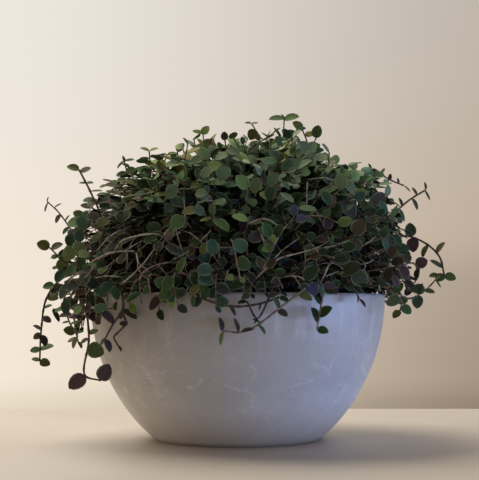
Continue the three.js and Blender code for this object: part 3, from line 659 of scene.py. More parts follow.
# Each runner in sight: its name, finish, bearing, route, and its leaves one by one. For a leaf: how far
# back from the tip it sits, the way it points as seen from the front (0 to the right, 90 up), its length,
# how far its face is turned to the front (1 is full on) and its tone.
RUNNERS = [
    ("left_high", "olive", 186, [(-114, -22, 150), (-115, -24, 187), (-123, -21, 206), (-134, -18, 227)],
    [(0, 165, 11, 0.72, "olive"), (2, 22, 10, 0.7, "brown"), (13, 178, 6, 0.5, "brown"),
    (13, 4, 6.5, 0.5, "dark"), (21, 5, 11, 0.18, "olive"), (30, 178, 10, 0.6, "mid"),
    (33, 10, 10, 0.7, "brown"), (40, 200, 9, 0.8, "brown")]),
    ("left_back", "green", 166, [(-124, 32, 148), (-146, 45, 176), (-163, 52, 198), (-173, 55, 207)],
    [(0, 75, 5, 0.35, "dark"), (1, 250, 9.5, 0.34, "dark"), (9, 35, 8, 0.3, "dark"),
    (18, 238, 9, 0.62, "brown"), (26, 60, 7, 0.4, "dark"), (33, 230, 9, 0.6, "mid")]),
    ("left_mid", "olive", 195, [(-130, -28, 138), (-146, -22, 148), (-151, -20, 154), (-158, -20, 161)],
    [(0, 160, 11.5, 0.95, "olive"), (2, 25, 11, 0.7, "brown"), (9, 205, 6, 0.7, "mid"),
    (13, 295, 14, 1, "fresh"), (16, 80, 11, 0.9, "mid"), (24, 350, 13, 1, "mid"),
    (28, 200, 11, 0.9, "dark")]),
    ("left_far", "green", 204, [(-126, -46, 138), (-146, -34, 134), (-159, -28, 118), (-163, -28, 92),
    (-164, -28, 66)], [(0, 345, 9.5, 0.9, "olive"), (1, 168, 7, 0.6, "olive"), (10, 18, 12, 0.45, "mid"),
    (10, 186, 8.5, 0.8, "mid"), (22, 300, 10.5, 0.55, "plum"), (23, 215, 7.5, 0.95, "olive"),
    (26, 150, 8, 0.35, "brown"), (37, 330, 9, 0.75, "plum"), (44, 20, 8, 0.4, "mid"),
    (54, 355, 10, 0.8, "olive"), (60, 12, 13, 0.8, "brown"), (66, 190, 10, 0.8, "mid")]),
    ("left_long", "plum", 211, [(-119, -62, 129), (-120, -66, 110), (-118, -69, 85), (-121, -69, 57),
    (-108, -73, 53)], [(0, 62, 15, 1, "plum"), (14, 218, 16.5, 0.95, "plum"), (37, 340, 14.5, 1, "mid"),
    (48, 20, 8, 0.7, "lime"), (44, 215, 8, 0.5, "olive"), (62, 80, 11.5, 0.6, "plum"),
    (66, 325, 14, 0.72, "plum"), (68, 178, 13.5, 0.6, "brown"), (76, 340, 12, 0.9, "dark")]),
    ("left_rim", "plum", 226, [(-89, -95, 127), (-88, -98, 110), (-96, -99, 97), (-102, -97, 86)],
    [(0, 292, 11, 0.5, "mauve"), (1, 235, 7, 0.5, "plum"), (14, 138, 16, 0.42, "mauve"),
    (27, 328, 14, 0.42, "brown"), (25, 262, 6, 0.9, "brown"), (44, 200, 11, 0.9, "brown")]),
    ("left_low", "green", 199, [(-128, -38, 131), (-141, -48, 119), (-137, -52, 101), (-129, -54, 87)],
    [(0, 250, 10.5, 0.5, "olive"), (4, 165, 10, 0.9, "olive"), (3, 15, 7, 0.35, "fresh"),
    (12, 20, 8, 0.35, "fresh"), (14, 190, 6, 0.3, "olive"), (26, 200, 9, 0.5, "mid"),
    (34, 330, 11, 0.9, "mid")]),
    ("left_drop", "green", 178, [(-126, -6, 130), (-136, -8, 118), (-138, -10, 100), (-135, -10, 82)],
    [(0, 300, 7, 0.4, "fresh"), (3, 200, 9, 0.5, "olive"), (12, 40, 8, 0.6, "mid"),
    (24, 10, 10, 0.9, "fresh"), (30, 190, 9, 0.7, "mid"), (38, 355, 11, 0.8, "brown")]),
    ("right_arch", "green", 346, [(125, -34, 158), (137, -30, 170), (155, -30, 165), (168, -30, 153),
    (172, -30, 137)], [(0, 345, 10, 0.9, "mid"), (1, 215, 9, 0.85, "mid"), (7, 150, 12.5, 0.5, "dark"),
    (20, 55, 11.5, 0.36, "brown"), (30, 245, 11.5, 0.34, "dark"), (44, 268, 12.5, 0.85, "mauve"),
    (46, 96, 12, 1, "dark"), (56, 250, 11, 0.9, "dark")]),
    ("right_low", "green", 339, [(123, -44, 128), (141, -38, 118), (155, -36, 125), (167, -35, 137)],
    [(0, 185, 9, 0.6, "olive"), (5, 305, 8, 0.25, "brown"), (17, 172, 12, 0.95, "pale_teal"),
    (24, 262, 11.5, 0.95, "pale_teal"), (18, 350, 9, 0.6, "olive"), (24, 70, 10.5, 0.34, "brown"),
    (34, 200, 10, 0.9, "mid")]),
    ("right_hang", "green", 330, [(111, -62, 129), (123, -64, 124), (131, -66, 116), (130, -66, 108)],
    [(0, 225, 8.5, 0.8, "olive"), (4, 320, 10, 0.95, "mid"), (12, 215, 12, 0.95, "sage"),
    (18, 40, 11, 0.9, "mid")]),
    ("right_high", "olive", 4, [(126, 6, 152), (132, 2, 186), (145, 0, 201), (162, 0, 212)],
    [(0, 95, 7, 0.5, "dark"), (1, 300, 10, 0.42, "dark"), (9, 118, 8, 0.5, "brown"),
    (14, 293, 11.5, 0.45, "dark"), (25, 110, 8, 0.5, "brown"), (28, 290, 12.5, 0.45, "dark"),
    (36, 350, 9, 0.8, "mid"), (40, 310, 9, 0.3, "dark")]),
    ("right_shoulder", "green", 18, [(118, 25, 158), (107, 22, 212), (118, 16, 232), (131, 12, 223),
    (145, 12, 217)], [(0, 318, 8, 0.3, "dark"), (5, 100, 5, 0.6, "brown"), (13, 88, 5.5, 0.6, "brown"),
    (14, 250, 5, 0.4, "dark"), (22, 60, 6, 0.5, "mid"), (29, 250, 9, 0.8, "mid"),
    (33, 110, 6, 0.6, "dark")]),
    ("right_plum", "plum", 354, [(126, -10, 132), (139, -12, 146), (150, -11, 148), (153, -10, 138),
    (147, -10, 127)], [(0, 230, 8, 0.8, "plum"), (9, 78, 10.5, 0.45, "brown"), (22, 20, 11, 1, "plum"),
    (28, 130, 12.5, 1, "brown"), (36, 250, 11, 0.9, "plum")]),
    ("front_runner", "plum", 252, [(-38, -122, 127), (-23, -134, 116), (0, -136, 111), (20, -135, 114),
    (31, -133, 118)], [(0, 340, 8, 0.6, "dark"), (14, 250, 6, 0.3, "plum"), (38, 300, 9, 0.35, "dark"),
    (49, 8, 10.5, 0.95, "teal"), (58, 75, 10, 0.9, "mid"), (62, 250, 9, 0.9, "teal")]),
    ("front_bow", "plum", 284, [(27, -122, 128), (24, -133, 119), (17, -135, 104), (14.5, -135, 102),
    (7, -134, 115)], [(0, 190, 7, 0.5, "dark"), (16, 235, 5, 0.3, "plum"), (34, 20, 8, 0.6, "plum")]),
    ("front_trail", "olive", 296, [(56, -119, 129), (46, -131, 121), (29, -135, 108), (13, -135, 96),
    (2, -134, 92), (-11, -133, 93)], [(0, 100, 10.5, 0.42, "plum"), (1, 258, 11, 0.28, "lime"),
    (12, 108, 11.5, 0.26, "plum"), (14, 18, 10, 0.3, "plum"), (28, 305, 9, 0.3, "mid"),
    (30, 150, 7, 0.25, "mid"), (47, 115, 10.5, 0.45, "mid"), (46, 330, 9, 0.75, "brown"),
    (66, 338, 11.5, 0.65, "olive")]),
    ("front_right", "green", 303, [(65, -109, 127), (64, -118, 118), (62, -120, 106), (60, -120, 94)],
    [(0, 350, 9, 0.75, "mid"), (5, 115, 13, 0.6, "dark"), (10, 35, 12, 0.7, "mid"),
    (19, 118, 12, 0.6, "dark"), (24, 100, 10, 0.5, "teal"), (32, 150, 10, 1, "violet"),
    (33, 20, 10, 1, "plum"), (34, 350, 12, 0.9, "brown")]),
    ("front_far_right", "plum", 314, [(84, -88, 127), (91, -96, 124), (94, -99, 117)],
    [(0, 310, 8, 0.4, "plum"), (4, 275, 7, 0.3, "plum"), (9, 150, 9, 0.9, "dark")]),
    ("front_left", "green", 240, [(-54, -108, 128), (-51, -121, 127), (-48, -127, 119)],
    [(0, 262, 10, 0.8, "lime"), (3, 200, 11, 0.95, "mid"), (6, 325, 11, 0.95, "olive"),
    (12, 165, 12, 1, "mid"), (15, 20, 12, 1, "dark")]),
    ("front_mid", "green", 268, [(-26, -118, 129), (-30, -130, 127), (-32, -135, 120)],
    [(0, 265, 10, 0.4, "teal"), (4, 20, 9, 0.9, "mid"), (9, 170, 10, 0.9, "dark")]),
]
DARK_STEMMED = ("left_long", "left_rim", "left_far", "front_bow", "front_runner", "right_arch")
# A side stem of left_rim that leaves it below the rim and turns back, bent sharply at its joints.
RIM_SIDE_STEM = [
    (-88.5, -98, 106), (-86, -99, 100.5), (-85, -99, 98.5), (-86, -99, 97), (-93.5, -99, 89.5),
    (-95, -99, 87.8), (-94.5, -99, 86.3), (-92, -98, 81.5),
]
RIM_SIDE_LEAVES = [(0, 300, 6, 0.35, "plum"), (21, 175, 5.5, 0.9, "brown")]


def back_runners():
    """Round the back and sides, runners of the same kinds by a rule."""
    draw = draws_from(7793)
    rows = []
    for i in range(BACK_RUNNERS):
        bearing = FIRST_BEARING + BEARING_STEP * i
        drop = 8 + 34 * draw()
        reach = 134 + 16 * draw()
        sway = 5 * (draw() - 0.5)
        route = []
        for radius, turn, z in (
            (120, 0, 131),
            (reach, sway * 0.5, 128),
            (reach + 5, sway, 120 - drop * 0.5),
            (reach + 3, sway * 1.4, 118 - drop),
        ):
            route.append(radius * level_way(math.radians(bearing + turn)) + UP * z)
        finish = ["green", "olive", "green", "plum"][i % 4]
        rows.append((f"back_{i + 1}", finish, bearing, route, None))
    return rows


def make_runner(index, name, finish, bearing, route, leaves):
    outward = level_way(math.radians(bearing))
    root = outward * ROOT_RING + UP * (soil_top(ROOT_RING) - ROOT_DEPTH)
    collar = outward * (ROOT_RING + 1) + UP * (soil_top(ROOT_RING) + 5)
    path = smooth_path([root, collar, *route], 2.2)
    draw = draws_from(131 + 71 * index)
    own = draws_from(977 + 13 * index)
    if leaves:
        # The runners on the right are painted paler, as more brightly lit.
        rows = listed_rows(path, leaves, draw, own, light=1.3 if name.startswith("right") else 1)
    else:
        rows = []
        tones = BACK_TONES[finish].split()
        facing = unit(outward + 0.45 * UP)
        places = leaves_along(path, BACK_LEAVES, VINE_PITCH, BACK_LEAF_LENGTH, facing, draw)
        for k, place in enumerate(places):
            x, y, z = place[0]
            if z < 124 and math.hypot(x, y) < 122:
                continue
            tone = tones[k] if k < len(tones) else pick(tones, own)
            rows.append(leaf_row(*place, pick(FORM_MIX, own), tone, own))
    skin, thin = (DARK_STEM_SKIN, 0.78) if name in DARK_STEMMED else (STEM_SKIN, 0.68)
    thin += 0.16 * name.endswith("_high")
    stems = [jointed(path, 1.05, thin, VINE_PITCH)]
    if name == "left_rim":
        side_path = smooth_path(RIM_SIDE_STEM, 1)
        stems.append(jointed(side_path, 0.95, 0.72, VINE_PITCH))
        rows.extend(listed_rows(side_path, RIM_SIDE_LEAVES, own, own, CUPPED))
    leafy_piece(name + "_runner", rows, stems, finish + "_vine", "vine_" + name, skin)


for index, runner in enumerate([*RUNNERS, *back_runners()]):
    make_runner(index, *runner)

# ---------------------------------------------------------------- the leafy mound
DOME_CENTRE = np.array([0.0, 0.0, 122.0])
DOME_LEFT, DOME_RIGHT, DOME_DEPTH, DOME_HEIGHT = 157.0, 148.0, 136.0, 138.0
ROUND_POWER, SQUARE_POWER = 2.05, 2.55
LOWEST_POLAR = math.radians(92)
MOUND_SPRIGS, FRINGE_SHOOTS, INNER_LEAVES, BARE_STEMS = 620, 84, 760, 60
HEART_SHARE, HEART_RADIUS = 0.7, 100
CROWN_FROM = 232
CLEAR_RIM = (297, 334)  # the bearings between which no leaf hangs over the rim
# The most that painted light may make a leaf's tone paler, and that for the yellowish tones.
PALEST, PALEST_YELLOW = 3.8, 2.2


def dome(way):
    """How far the mound's outside is from its centre along a unit way, and the way out of it there."""
    t = clamp((way[0] + 0.3) / 1.2)
    power = ROUND_POWER + (SQUARE_POWER - ROUND_POWER) * t * t * (3 - 2 * t)
    halves = np.array([DOME_LEFT if way[0] < 0 else DOME_RIGHT, DOME_DEPTH, DOME_HEIGHT])
    shares = np.abs(way) / halves
    reach = (shares**power).sum() ** (-1 / power)
    return reach, unit(np.sign(way) * shares ** (power - 1) / halves)


def even_way(i, count, shift):
    """Way i of count that spread evenly over the dome from its top down."""
    polar = math.acos(1 - (i + 0.5) / count * (1 - math.cos(LOWEST_POLAR)))
    turn = i * GOLDEN_ANGLE + shift
    return level_way(turn) * math.sin(polar) + UP * math.cos(polar)


def mound_tone(draw, height, depth, layered, right):
    """A tone for a leaf of the mound: more plum and brown low down and inside, fresher at the tips."""
    low, low_down = 1 - height, max(0.0, 1 - 1.4 * height)
    chances = {
        "mid": 0.34,
        "sage": 0.85 * height**1.5 * (1 - layered),
        "dull": 0.42 * low**1.5,
        "fresh": (0.02 + 0.1 * height * (1 - 0.5 * depth)) * (1 - 0.6 * layered),
        "dark": (0.10 + 0.1 * depth) * min(1, 1.8 * low) + 0.3 * low**3 + 0.15 * layered,
        "teal": 0.14 * (1 - layered) * (1 - 0.6 * right) * (1 - 0.4 * height),
        "olive": 0.07 * low + 0.35 * layered,
        "plum": (0.2 * low + 0.03 * depth + 0.18 * right) * low_down,
        "brown": 0.16 * layered + (0.28 * low + 0.05 * depth + 0.16 * right) * low_down,
        "lime": 0.01 * low,
    }
    at = draw() * sum(chances.values())
    for name, chance in chances.items():
        at -= chance
        if at <= 0:
            return name
    return "mid"


def sprig(points, count, pitch, length, facing, draw, layered=0.0):
    """A leafy shoot: its leaf rows and its stem."""
    path = smooth_path(points, 4.5)
    rows = []
    for k, (*place, grown) in enumerate(leaves_along(path, count, pitch, length, facing, draw)):
        across, _, up = place[0]
        height = clamp((up - 120) / 140)
        right = clamp(across / 110) * (1 - height)
        tone = mound_tone(draw, height, k / count, layered, right)
        form = pick(FORM_MIX, draw)
        size = grown * (0.55 + 0.75 * draw())
        # Painted light and shade: paler higher up and on the outside, darker deeper in, on the right and
        # where leaves lie in layers, at the far left paler low down and darker higher up, and on the crown
        # paler towards the left.
        light = min(0.68 + 0.5 * height + 5.2 * height**3, 3) * (1 - 0.35 * right) * (1 - 0.42 * layered)
        light *= 1 + np.interp(across, (-115, -60), (1, 0)) * np.interp(height, (0.05, 0.3), (0.15, -0.3))
        out = place[0] - DOME_CENTRE
        light *= np.interp(np.linalg.norm(out) / dome(unit(out))[0], (0.82, 1), (0.62, 1.22))
        crown = np.interp(height, (0.68, 0.85), (0, 1))
        light *= 1 + crown * np.interp(across, (-80, -30, 60, 110), (0.75, 0.22, 0.03, -0.18))
        light = min(light, PALEST_YELLOW if tone in ("fresh", "lime", "olive") else PALEST)
        if draw() > 0.26 * (1 - 2 * height):
            # A painted bluish cool light, more low down and away from the far left, and on the crown a
            # painted glow of light shining through.
            painted_cool_light = 0.42 * (1 - 0.7 * height) * (1 - layered)
            painted_cool_light *= np.interp(across, (-80, -20, 50, 150), (0, 1, 1, 0.5))
            rows.append(leaf_row(*place, size, form, tone, draw, light, painted_cool_light, 0.2 * crown))
    return rows, jointed(path, 0.8, 0.5, pitch)


# Shoots that stand out of the mound's top: the way each runs up, and its leaves as for the runners.
TOP_SPRIGS = [
    ([(-88, 0, 208), (-96, 0, 230), (-98, 0, 237)], [(0, 228, 9, 0.3, "dark"), (0, 5, 9.5, 0.3, "dark"),
    (1, 100, 6, 0.4, "olive"), (7, 330, 11.5, 0.8, "fresh"), (12, 190, 10.5, 0.7, "mid"),
    (19, 350, 11, 0.7, "mid")]),
    ([(-72, -6, 215), (-75, -6, 236), (-76, -4, 245)], [(0, 160, 8.5, 0.4, "olive"),
    (0, 20, 8.5, 0.4, "olive"), (5, 355, 12.5, 0.45, "mid"), (7, 180, 9, 0.3, "dark"),
    (14, 10, 10.5, 0.45, "mid"), (18, 185, 11, 0.4, "olive")]),
    ([(-66, 4, 215), (-64, 4, 234), (-61, 4, 243)], [(0, 5, 9, 0.5, "mid"), (0, 178, 6, 0.5, "mid"),
    (9, 190, 9, 0.4, "dark"), (16, 0, 11, 0.5, "mid")]),
    ([(-48, 0, 222), (-51, 0, 238), (-52, 0, 245)], [(0, 55, 9.5, 0.8, "brown"), (4, 185, 10, 0.25, "dark"),
    (7, 10, 8, 0.4, "olive"), (10, 190, 11, 0.35, "mid"), (16, 350, 12, 0.6, "mid")]),
    ([(-25, 0, 235), (-29, 0, 253), (-30, 0, 261)], [(0, 165, 9.5, 0.6, "mid"), (1, 60, 9, 0.9, "fresh"),
    (6, 330, 13.5, 0.75, "mid"), (11, 200, 11, 0.8, "mid")]),
    ([(-8, 8, 238), (-10, 8, 250), (-11, 8, 256)], [(0, 95, 8, 1, "brown"), (5, 200, 10.5, 0.7, "mid"),
    (6, 10, 9.5, 0.6, "mid")]),
    ([(24, -4, 238), (18, -4, 256), (15, -4, 264), (12, -4, 269)], [(0, 176, 6, 0.5, "olive"),
    (0, 4, 6, 0.5, "olive"), (6, 245, 10.5, 1, "olive"), (13, 330, 6, 0.3, "brown"),
    (19, 190, 10.5, 0.8, "mid"), (24, 20, 12, 0.9, "mid")]),
    ([(37, -10, 235), (39, -10, 254), (40, -10, 272)], [(0, 182, 13.5, 0.52, "mid"),
    (1, 12, 13.5, 0.66, "mid"), (0, 120, 5, 0.5, "fresh"), (16, 20, 12, 0.85, "teal"),
    (20, 190, 11, 0.8, "mid"), (27, 340, 12, 0.9, "mid")]),
    ([(64, 0, 235), (60, 0, 254), (56, 0, 264)], [(0, 140, 11, 0.85, "olive"), (5, 10, 9, 0.8, "olive"),
    (13, 200, 11, 0.8, "mid"), (19, 30, 11, 0.9, "mid")]),
    ([(56, -14, 235), (64, -14, 249), (67, -12, 255)], [(0, 80, 11.5, 0.95, "mid"),
    (9, 300, 11.5, 0.95, "teal"), (13, 170, 10, 0.8, "mid")]),
]
# Leaves in plain sight on the mound's front: the middle of each, across and up, the way it points, its
# length, how far its face is turned to the front, and its tone.
SEEN_LEAVES = [
    (2, 157, 150, 13, 1, "pale_teal"), (14, 203, 250, 12.5, 0.95, "sage"), (27, 208, 240, 12, 0.95, "sage"),
    (25, 197, 260, 12, 0.95, "dark"), (3.5, 206, 130, 14, 0.9, "fresh"), (37, 204, 320, 9.5, 0.5, "teal"),
    (38, 194, 325, 13, 0.45, "sage"), (53, 185, 175, 13, 0.5, "sage"), (69, 194, 300, 13, 0.8, "dark"),
    (81, 208, 270, 14, 0.9, "sage"), (43, 184, 90, 9.5, 0.9, "violet"), (48, 177, 200, 9, 0.9, "violet"),
    (2, 178, 165, 13, 0.6, "fresh"), (22, 168, 105, 12, 0.7, "mid"), (31, 168, 60, 12, 0.8, "dark"),
    (26.5, 161, 90, 8, 0.8, "lime"), (22.7, 154, 190, 10, 0.8, "fresh"), (55, 136.5, 45, 14, 0.95, "dark"),
    (76.5, 147.6, 350, 13, 0.95, "dark"), (17, 144, 120, 8.5, 0.9, "brown"),
    (25, 143, 60, 8.5, 0.9, "brown"), (60, 149, 20, 10.5, 0.8, "brown"), (71, 160, 70, 10, 0.4, "teal"),
    (-5.5, 132.5, 180, 7, 0.8, "lime"), (0.5, 127.5, 210, 12, 0.9, "dark"),
    (-51, 200, 250, 12.5, 1, "sage"), (-45.6, 175, 230, 12.5, 1, "mid"), (-27.6, 198, 10, 9.5, 0.8, "sage"),
    (-64, 193, 178, 12, 0.5, "sage"), (-29, 183, 160, 9.5, 0.9, "sage"), (-18, 185, 85, 11, 0.6, "sage"),
    (-24, 177, 190, 9.5, 0.4, "lime"), (-12, 172, 320, 15, 0.6, "mid"), (-18.6, 156, 95, 12, 0.9, "teal"),
    (-24.7, 138, 185, 12.5, 0.95, "pale_teal"), (-41, 142, 65, 13, 0.6, "mid"),
    (-31.5, 131, 280, 12, 0.9, "dark"), (-49, 154, 140, 11, 0.8, "brown"),
    (-52, 128, 250, 12.5, 0.95, "mid"), (-11, 215, 250, 13.5, 0.95, "sage"),
    (-32, 227, 200, 12, 0.7, "dark"), (-3, 233, 340, 11, 0.8, "sage"), (-12.7, 229, 200, 11, 0.6, "sage"),
    (-24, 215, 230, 11, 0.8, "sage"), (44, 252, 150, 12, 0.8, "sage"), (55, 239, 300, 13.5, 0.9, "sage"),
    (53, 223, 30, 13, 0.5, "sage"), (25, 226, 180, 12, 0.7, "teal"), (88, 204, 300, 9.5, 0.9, "sage"),
    (115, 190, 110, 11, 0.7, "teal"), (93, 172, 60, 13.5, 1, "brown"), (91, 158, 300, 10.5, 0.95, "brown"),
    (84, 156, 200, 11.5, 0.95, "dark"), (79, 148, 220, 14.5, 1, "dull"), (87, 140, 20, 14.5, 0.95, "dull"),
    (93.6, 132.5, 320, 14.5, 1, "dull"), (115, 160, 110, 11, 0.6, "teal"), (128, 164, 300, 12, 0.7, "dark"),
    (116, 170, 60, 10, 0.8, "teal"), (121, 154, 250, 10, 0.9, "brown"), (119.6, 121, 250, 13, 0.95, "teal"),
    (-130.7, 198, 170, 9.5, 0.7, "brown"), (-121.6, 199, 20, 12, 0.6, "olive"),
    (-133, 188, 150, 10, 0.9, "fresh"), (-135.6, 181, 190, 12, 0.85, "fresh"),
    (-123, 185, 30, 11.5, 0.9, "mid"), (-126, 179, 300, 11, 0.9, "mid"), (-115, 183, 340, 11, 0.9, "brown"),
    (-137, 166, 250, 11.5, 0.95, "dark"), (-128, 169, 80, 11, 0.95, "dark"),
    (-126, 158, 320, 12, 0.95, "fresh"), (-136.5, 154, 230, 13.5, 1, "fresh"),
    (-121.6, 152.6, 340, 9.5, 0.9, "lime"), (-133, 140, 250, 10.5, 0.9, "mid"),
    (-116.6, 141, 300, 10.5, 0.9, "mid"), (-124.5, 146, 280, 10, 0.9, "mid"),
    (-103, 210, 175, 12, 0.45, "brown"), (-107, 197, 190, 10, 0.5, "brown"),
    (-110, 203, 10, 9, 0.4, "dark"), (-139.7, 123, 245, 13, 0.7, "dark"),
    (-138.5, 111, 270, 13, 0.8, "dark"), (-126, 108.6, 45, 9, 0.8, "fresh"),
    (-105, 110, 20, 11, 0.85, "mid"), (-148.5, 104, 300, 12, 0.3, "dark"),
    (-141, 104.5, 190, 11, 0.5, "brown"), (-128, 103, 0, 12, 0.4, "plum"), (-144, 126, 100, 9, 0.6, "sage"),
    (-134, 127.5, 200, 13, 0.9, "dull"), (-119, 133, 250, 12, 0.9, "dull"),
    (-113, 129, 330, 12, 0.85, "dark"), (-106, 122, 330, 12, 0.8, "mid"), (-100, 125, 230, 12, 0.9, "dark"),
    (-93, 121, 290, 11, 0.8, "mid"), (132.5, 138, 300, 12, 0.8, "plum"), (138, 136, 320, 12, 0.7, "brown"),
    (140, 129, 320, 10, 0.8, "brown"), (127, 147, 200, 11, 0.8, "brown"), (118, 136, 260, 12, 0.8, "brown"),
    (124, 131, 300, 11, 0.7, "plum"), (-145, 136, 230, 12, 0.9, "dark"), (57, 124, 280, 10, 1, "violet"),
    (-25, 154.5, 80, 10, 0.8, "olive"),
]
# Pale stems that cross the mound's front, each through points across and up.
SEEN_STEMS = [
    [(-97, 152.5), (-88, 162), (-60, 165.5), (-52, 160)], [(-97, 124.5), (-82, 133), (-71, 143.5),
    (-60, 157), (-44, 168)], [(-121, 143.5), (-108, 149), (-95, 153), (-80, 154)], [(-113, 154.5),
    (-99, 165.5), (-90, 172)], [(-112, 134), (-97, 134.5), (-83, 133)], [(-142, 119.5), (-136, 129),
    (-130, 136), (-120, 142)], [(-89, 196), (-89.5, 174)], [(-70, 222), (-70, 188)], [(-42, 203),
    (-40, 178)], [(-13, 155.5), (4, 155.5)], [(-32, 156), (-20, 169)], [(-78, 153), (-74, 143), (-68, 139)],
    [(9, 174), (21, 177), (33, 171)], [(9, 128), (27, 144), (32, 147), (57, 154), (70, 161)], [(57, 154),
    (73, 157), (92, 165)], [(61, 126), (65, 134), (69, 143), (73, 148)], [(34, 134), (47, 133), (52, 128)],
    [(59, 188), (67, 172)], [(55, 209), (53.5, 187)], [(56, 211), (69, 211), (80, 208)], [(4, 150),
    (9, 137)], [(10, 169), (21, 161)], [(95, 137), (98, 143), (94, 148)], [(97, 131.5), (106, 130),
    (112, 124)], [(93, 156), (100, 160), (110, 167)], [(67, 134), (77, 138)], [(126, 131), (133, 139)],
    [(-124, 199), (-119, 184), (-111, 166)], [(128, 143), (131, 146), (135.5, 145.4), (137.3, 140.7),
    (133.7, 133.6)],
]
# As seen from the front, the middle of each, across and up, and its radius: dark gaps in the front, and
# openings at the left of the rim that the light comes through.
GAPS = [
    (29, 184, 9), (53, 171, 6), (-36, 168, 8), (-7, 161, 8),
    (105, 146, 12), (-62, 132, 9), (-84, 141, 8), (44, 131, 6),
]
OPENINGS = [(-125, 114, 8), (-111, 112, 7)]


def in_any(rings, at, margin=0):
    return any(math.hypot(at[0] - x, at[2] - z) < r + margin for x, z, r in rings)


def on_mound(across, up, level):
    """The point of the mound's front that is across and up from the middle, at a level of its outside."""
    far, near = -1.1 * DOME_DEPTH, 0.0
    for _ in range(20):
        spot = np.array([across, (far + near) / 2, up])
        out = spot - DOME_CENTRE
        if np.linalg.norm(out) > dome(unit(out))[0] * level:
            far = spot[1]
        else:
            near = spot[1]
    return spot


def seen_shoots():
    """Each of the leaves in plain sight with a short stem behind it."""
    draw = draws_from(32003)
    shoots = []
    for across, up, points, length, turned, tone in SEEN_LEAVES:
        direction, normal = aimed(points, turned, draw)
        base = on_mound(across, up, 0.95 + 0.05 * draw()) - direction * length / 2
        form = pick(OPEN_FORMS, draw)
        # Painted light and shade: paler higher up and at the far left, paler at the left of the crown, with a
        # painted bluish cool light at the far left and a painted glow on the crown.
        light = np.interp(across, (-110, -90), (1.3, 1)) + 0.9 * clamp((up - 140) / 120)
        painted_cool_light = np.interp(across, (-120, -60), (0.4, 0.05))
        crown = np.interp(up, (215, 240), (0, 1))
        light *= 1 + crown * np.interp(across, (-80, -30, 60, 110), (0.4, 0.15, 0.03, -0.1))
        path = smooth_path([DOME_CENTRE + 0.86 * (base - DOME_CENTRE), base], 5)
        row = leaf_row(base, direction, normal, length, form, tone, draw, light, painted_cool_light, 0.15 * crown)
        shoots.append((base, [row], jointed(path, 0.6, 0.5, 30)))
    return shoots


def top_shoots():
    """The shoots that stand out of the mound's top, each with its tip and its parts."""
    shoots = []
    for i, (route, leaves) in enumerate(TOP_SPRIGS):
        draw = draws_from(4703 + 53 * i)
        path = smooth_path(route, 3)
        # The top shoots are painted paler, as lit from above, with a painted glow of light shining through
        # them.
        rows = listed_rows(path, leaves, draw, draw, light=1.6, glow=0.12)
        shoots.append((path[-1], rows, jointed(path, 0.9, 0.6, 8)))
    return shoots


def mound_shoots():
    """Shoots all over the mound, spread evenly."""
    shoots = []
    draw = draws_from(60607)
    for i in range(MOUND_SPRIGS):
        way = even_way(i, MOUND_SPRIGS, 0.1 * (draw() - 0.5))
        clump = noise.noise(Vector(way * 4.2))
        level = 0.885 + 0.14 * clump + 0.09 * draw() + (0.03 * draw() if draw() < 0.2 else 0)
        reach, out = dome(way)
        if way[1] < 0 and in_any(GAPS, DOME_CENTRE + way * reach * level, 5):
            level -= 0.14
        tip = DOME_CENTRE + way * reach * level
        lean = jitter(draw)
        inward = unit(way + 0.75 * lean + UP * 0.1)
        start = DOME_CENTRE + inward * reach * (level - 0.4)
        start[2] = max(start[2], 128)
        arch = UP * (4 + 14 * (1 - way[2]) * (0.6 + 0.8 * draw()))
        middle = start * 0.42 + tip * 0.58 + arch + 9 * lean
        shake = jitter(draw)
        toward_front = FRONT * (0.95 * draw() if way[1] < 0.2 else 0)
        high = clamp(way[2] * 2.4)
        layered = high * clamp(-1.6 * way[0] - 0.1)
        across = 0.6 * out + toward_front * (0.35 + 0.65 * high) + shake * (1.9 - 0.8 * high)
        facing = unit((1 - 0.75 * layered) * across + (0.5 + 0.4 * layered) * UP + 0.3 * layered * FRONT)
        count = 5 + int(draw() * 2 + 2.4 * high)
        made = sprig([start, middle, tip], count, 7.2 + 2.2 * draw(), 9.8 + 3.0 * high, facing, draw, layered)
        shoots.append((tip, *made))
    return shoots


def fringe_shoots():
    """Short shoots that hang over the bowl's rim all round."""
    shoots = []
    draw = draws_from(90001)
    for i in range(FRINGE_SHOOTS):
        bearing = 2 * math.pi * (i + 0.7 * draw()) / FRINGE_SHOOTS
        outward = level_way(bearing)
        sideways = np.cross(UP, outward)
        left = max(0.0, -outward[0])
        right_front = max(0.0, math.cos(bearing - math.radians(318))) ** 3
        drop = (1 + 15 * draw() ** 1.4) * (1 - 0.9 * right_front) - 9 * right_front + 16 * left * draw()
        reach = 128 + 8 * draw() + 5 * left
        start = outward * 104 + UP * (130 + 14 * draw())
        over = outward * (reach - 3) + UP * (129 + 8 * draw())
        swing = sideways * 16 * (draw() - 0.5)
        tip = outward * (reach + 2) + UP * (122 - drop) + swing
        facing = unit(outward + UP * (0.3 + 0.5 * draw()) + sideways * 0.8 * (draw() - 0.5))
        shoots.append((tip, *sprig([start, over, tip], 5 + int(2 * draw()), 7.6, 10.6, facing, draw)))
    return shoots


def sector_of(tip):
    """The part of the mound that a shoot's tip is in."""
    if tip[2] > CROWN_FROM:
        return "crown"
    if abs(tip[0]) > abs(tip[1]):
        return "left" if tip[0] < 0 else "right"
    return "front" if tip[1] < 0 else "back"


def over_clear_rim(row):
    """Whether a leaf would hang over the rim at the right of the front, which is clear of leaves."""
    end = row[0] + row[1] * row[3]
    bearing = math.degrees(math.atan2(end[1], end[0])) % 360
    return end[2] < 125 and math.hypot(end[0], end[1]) > 112 and CLEAR_RIM[0] < bearing < CLEAR_RIM[1]


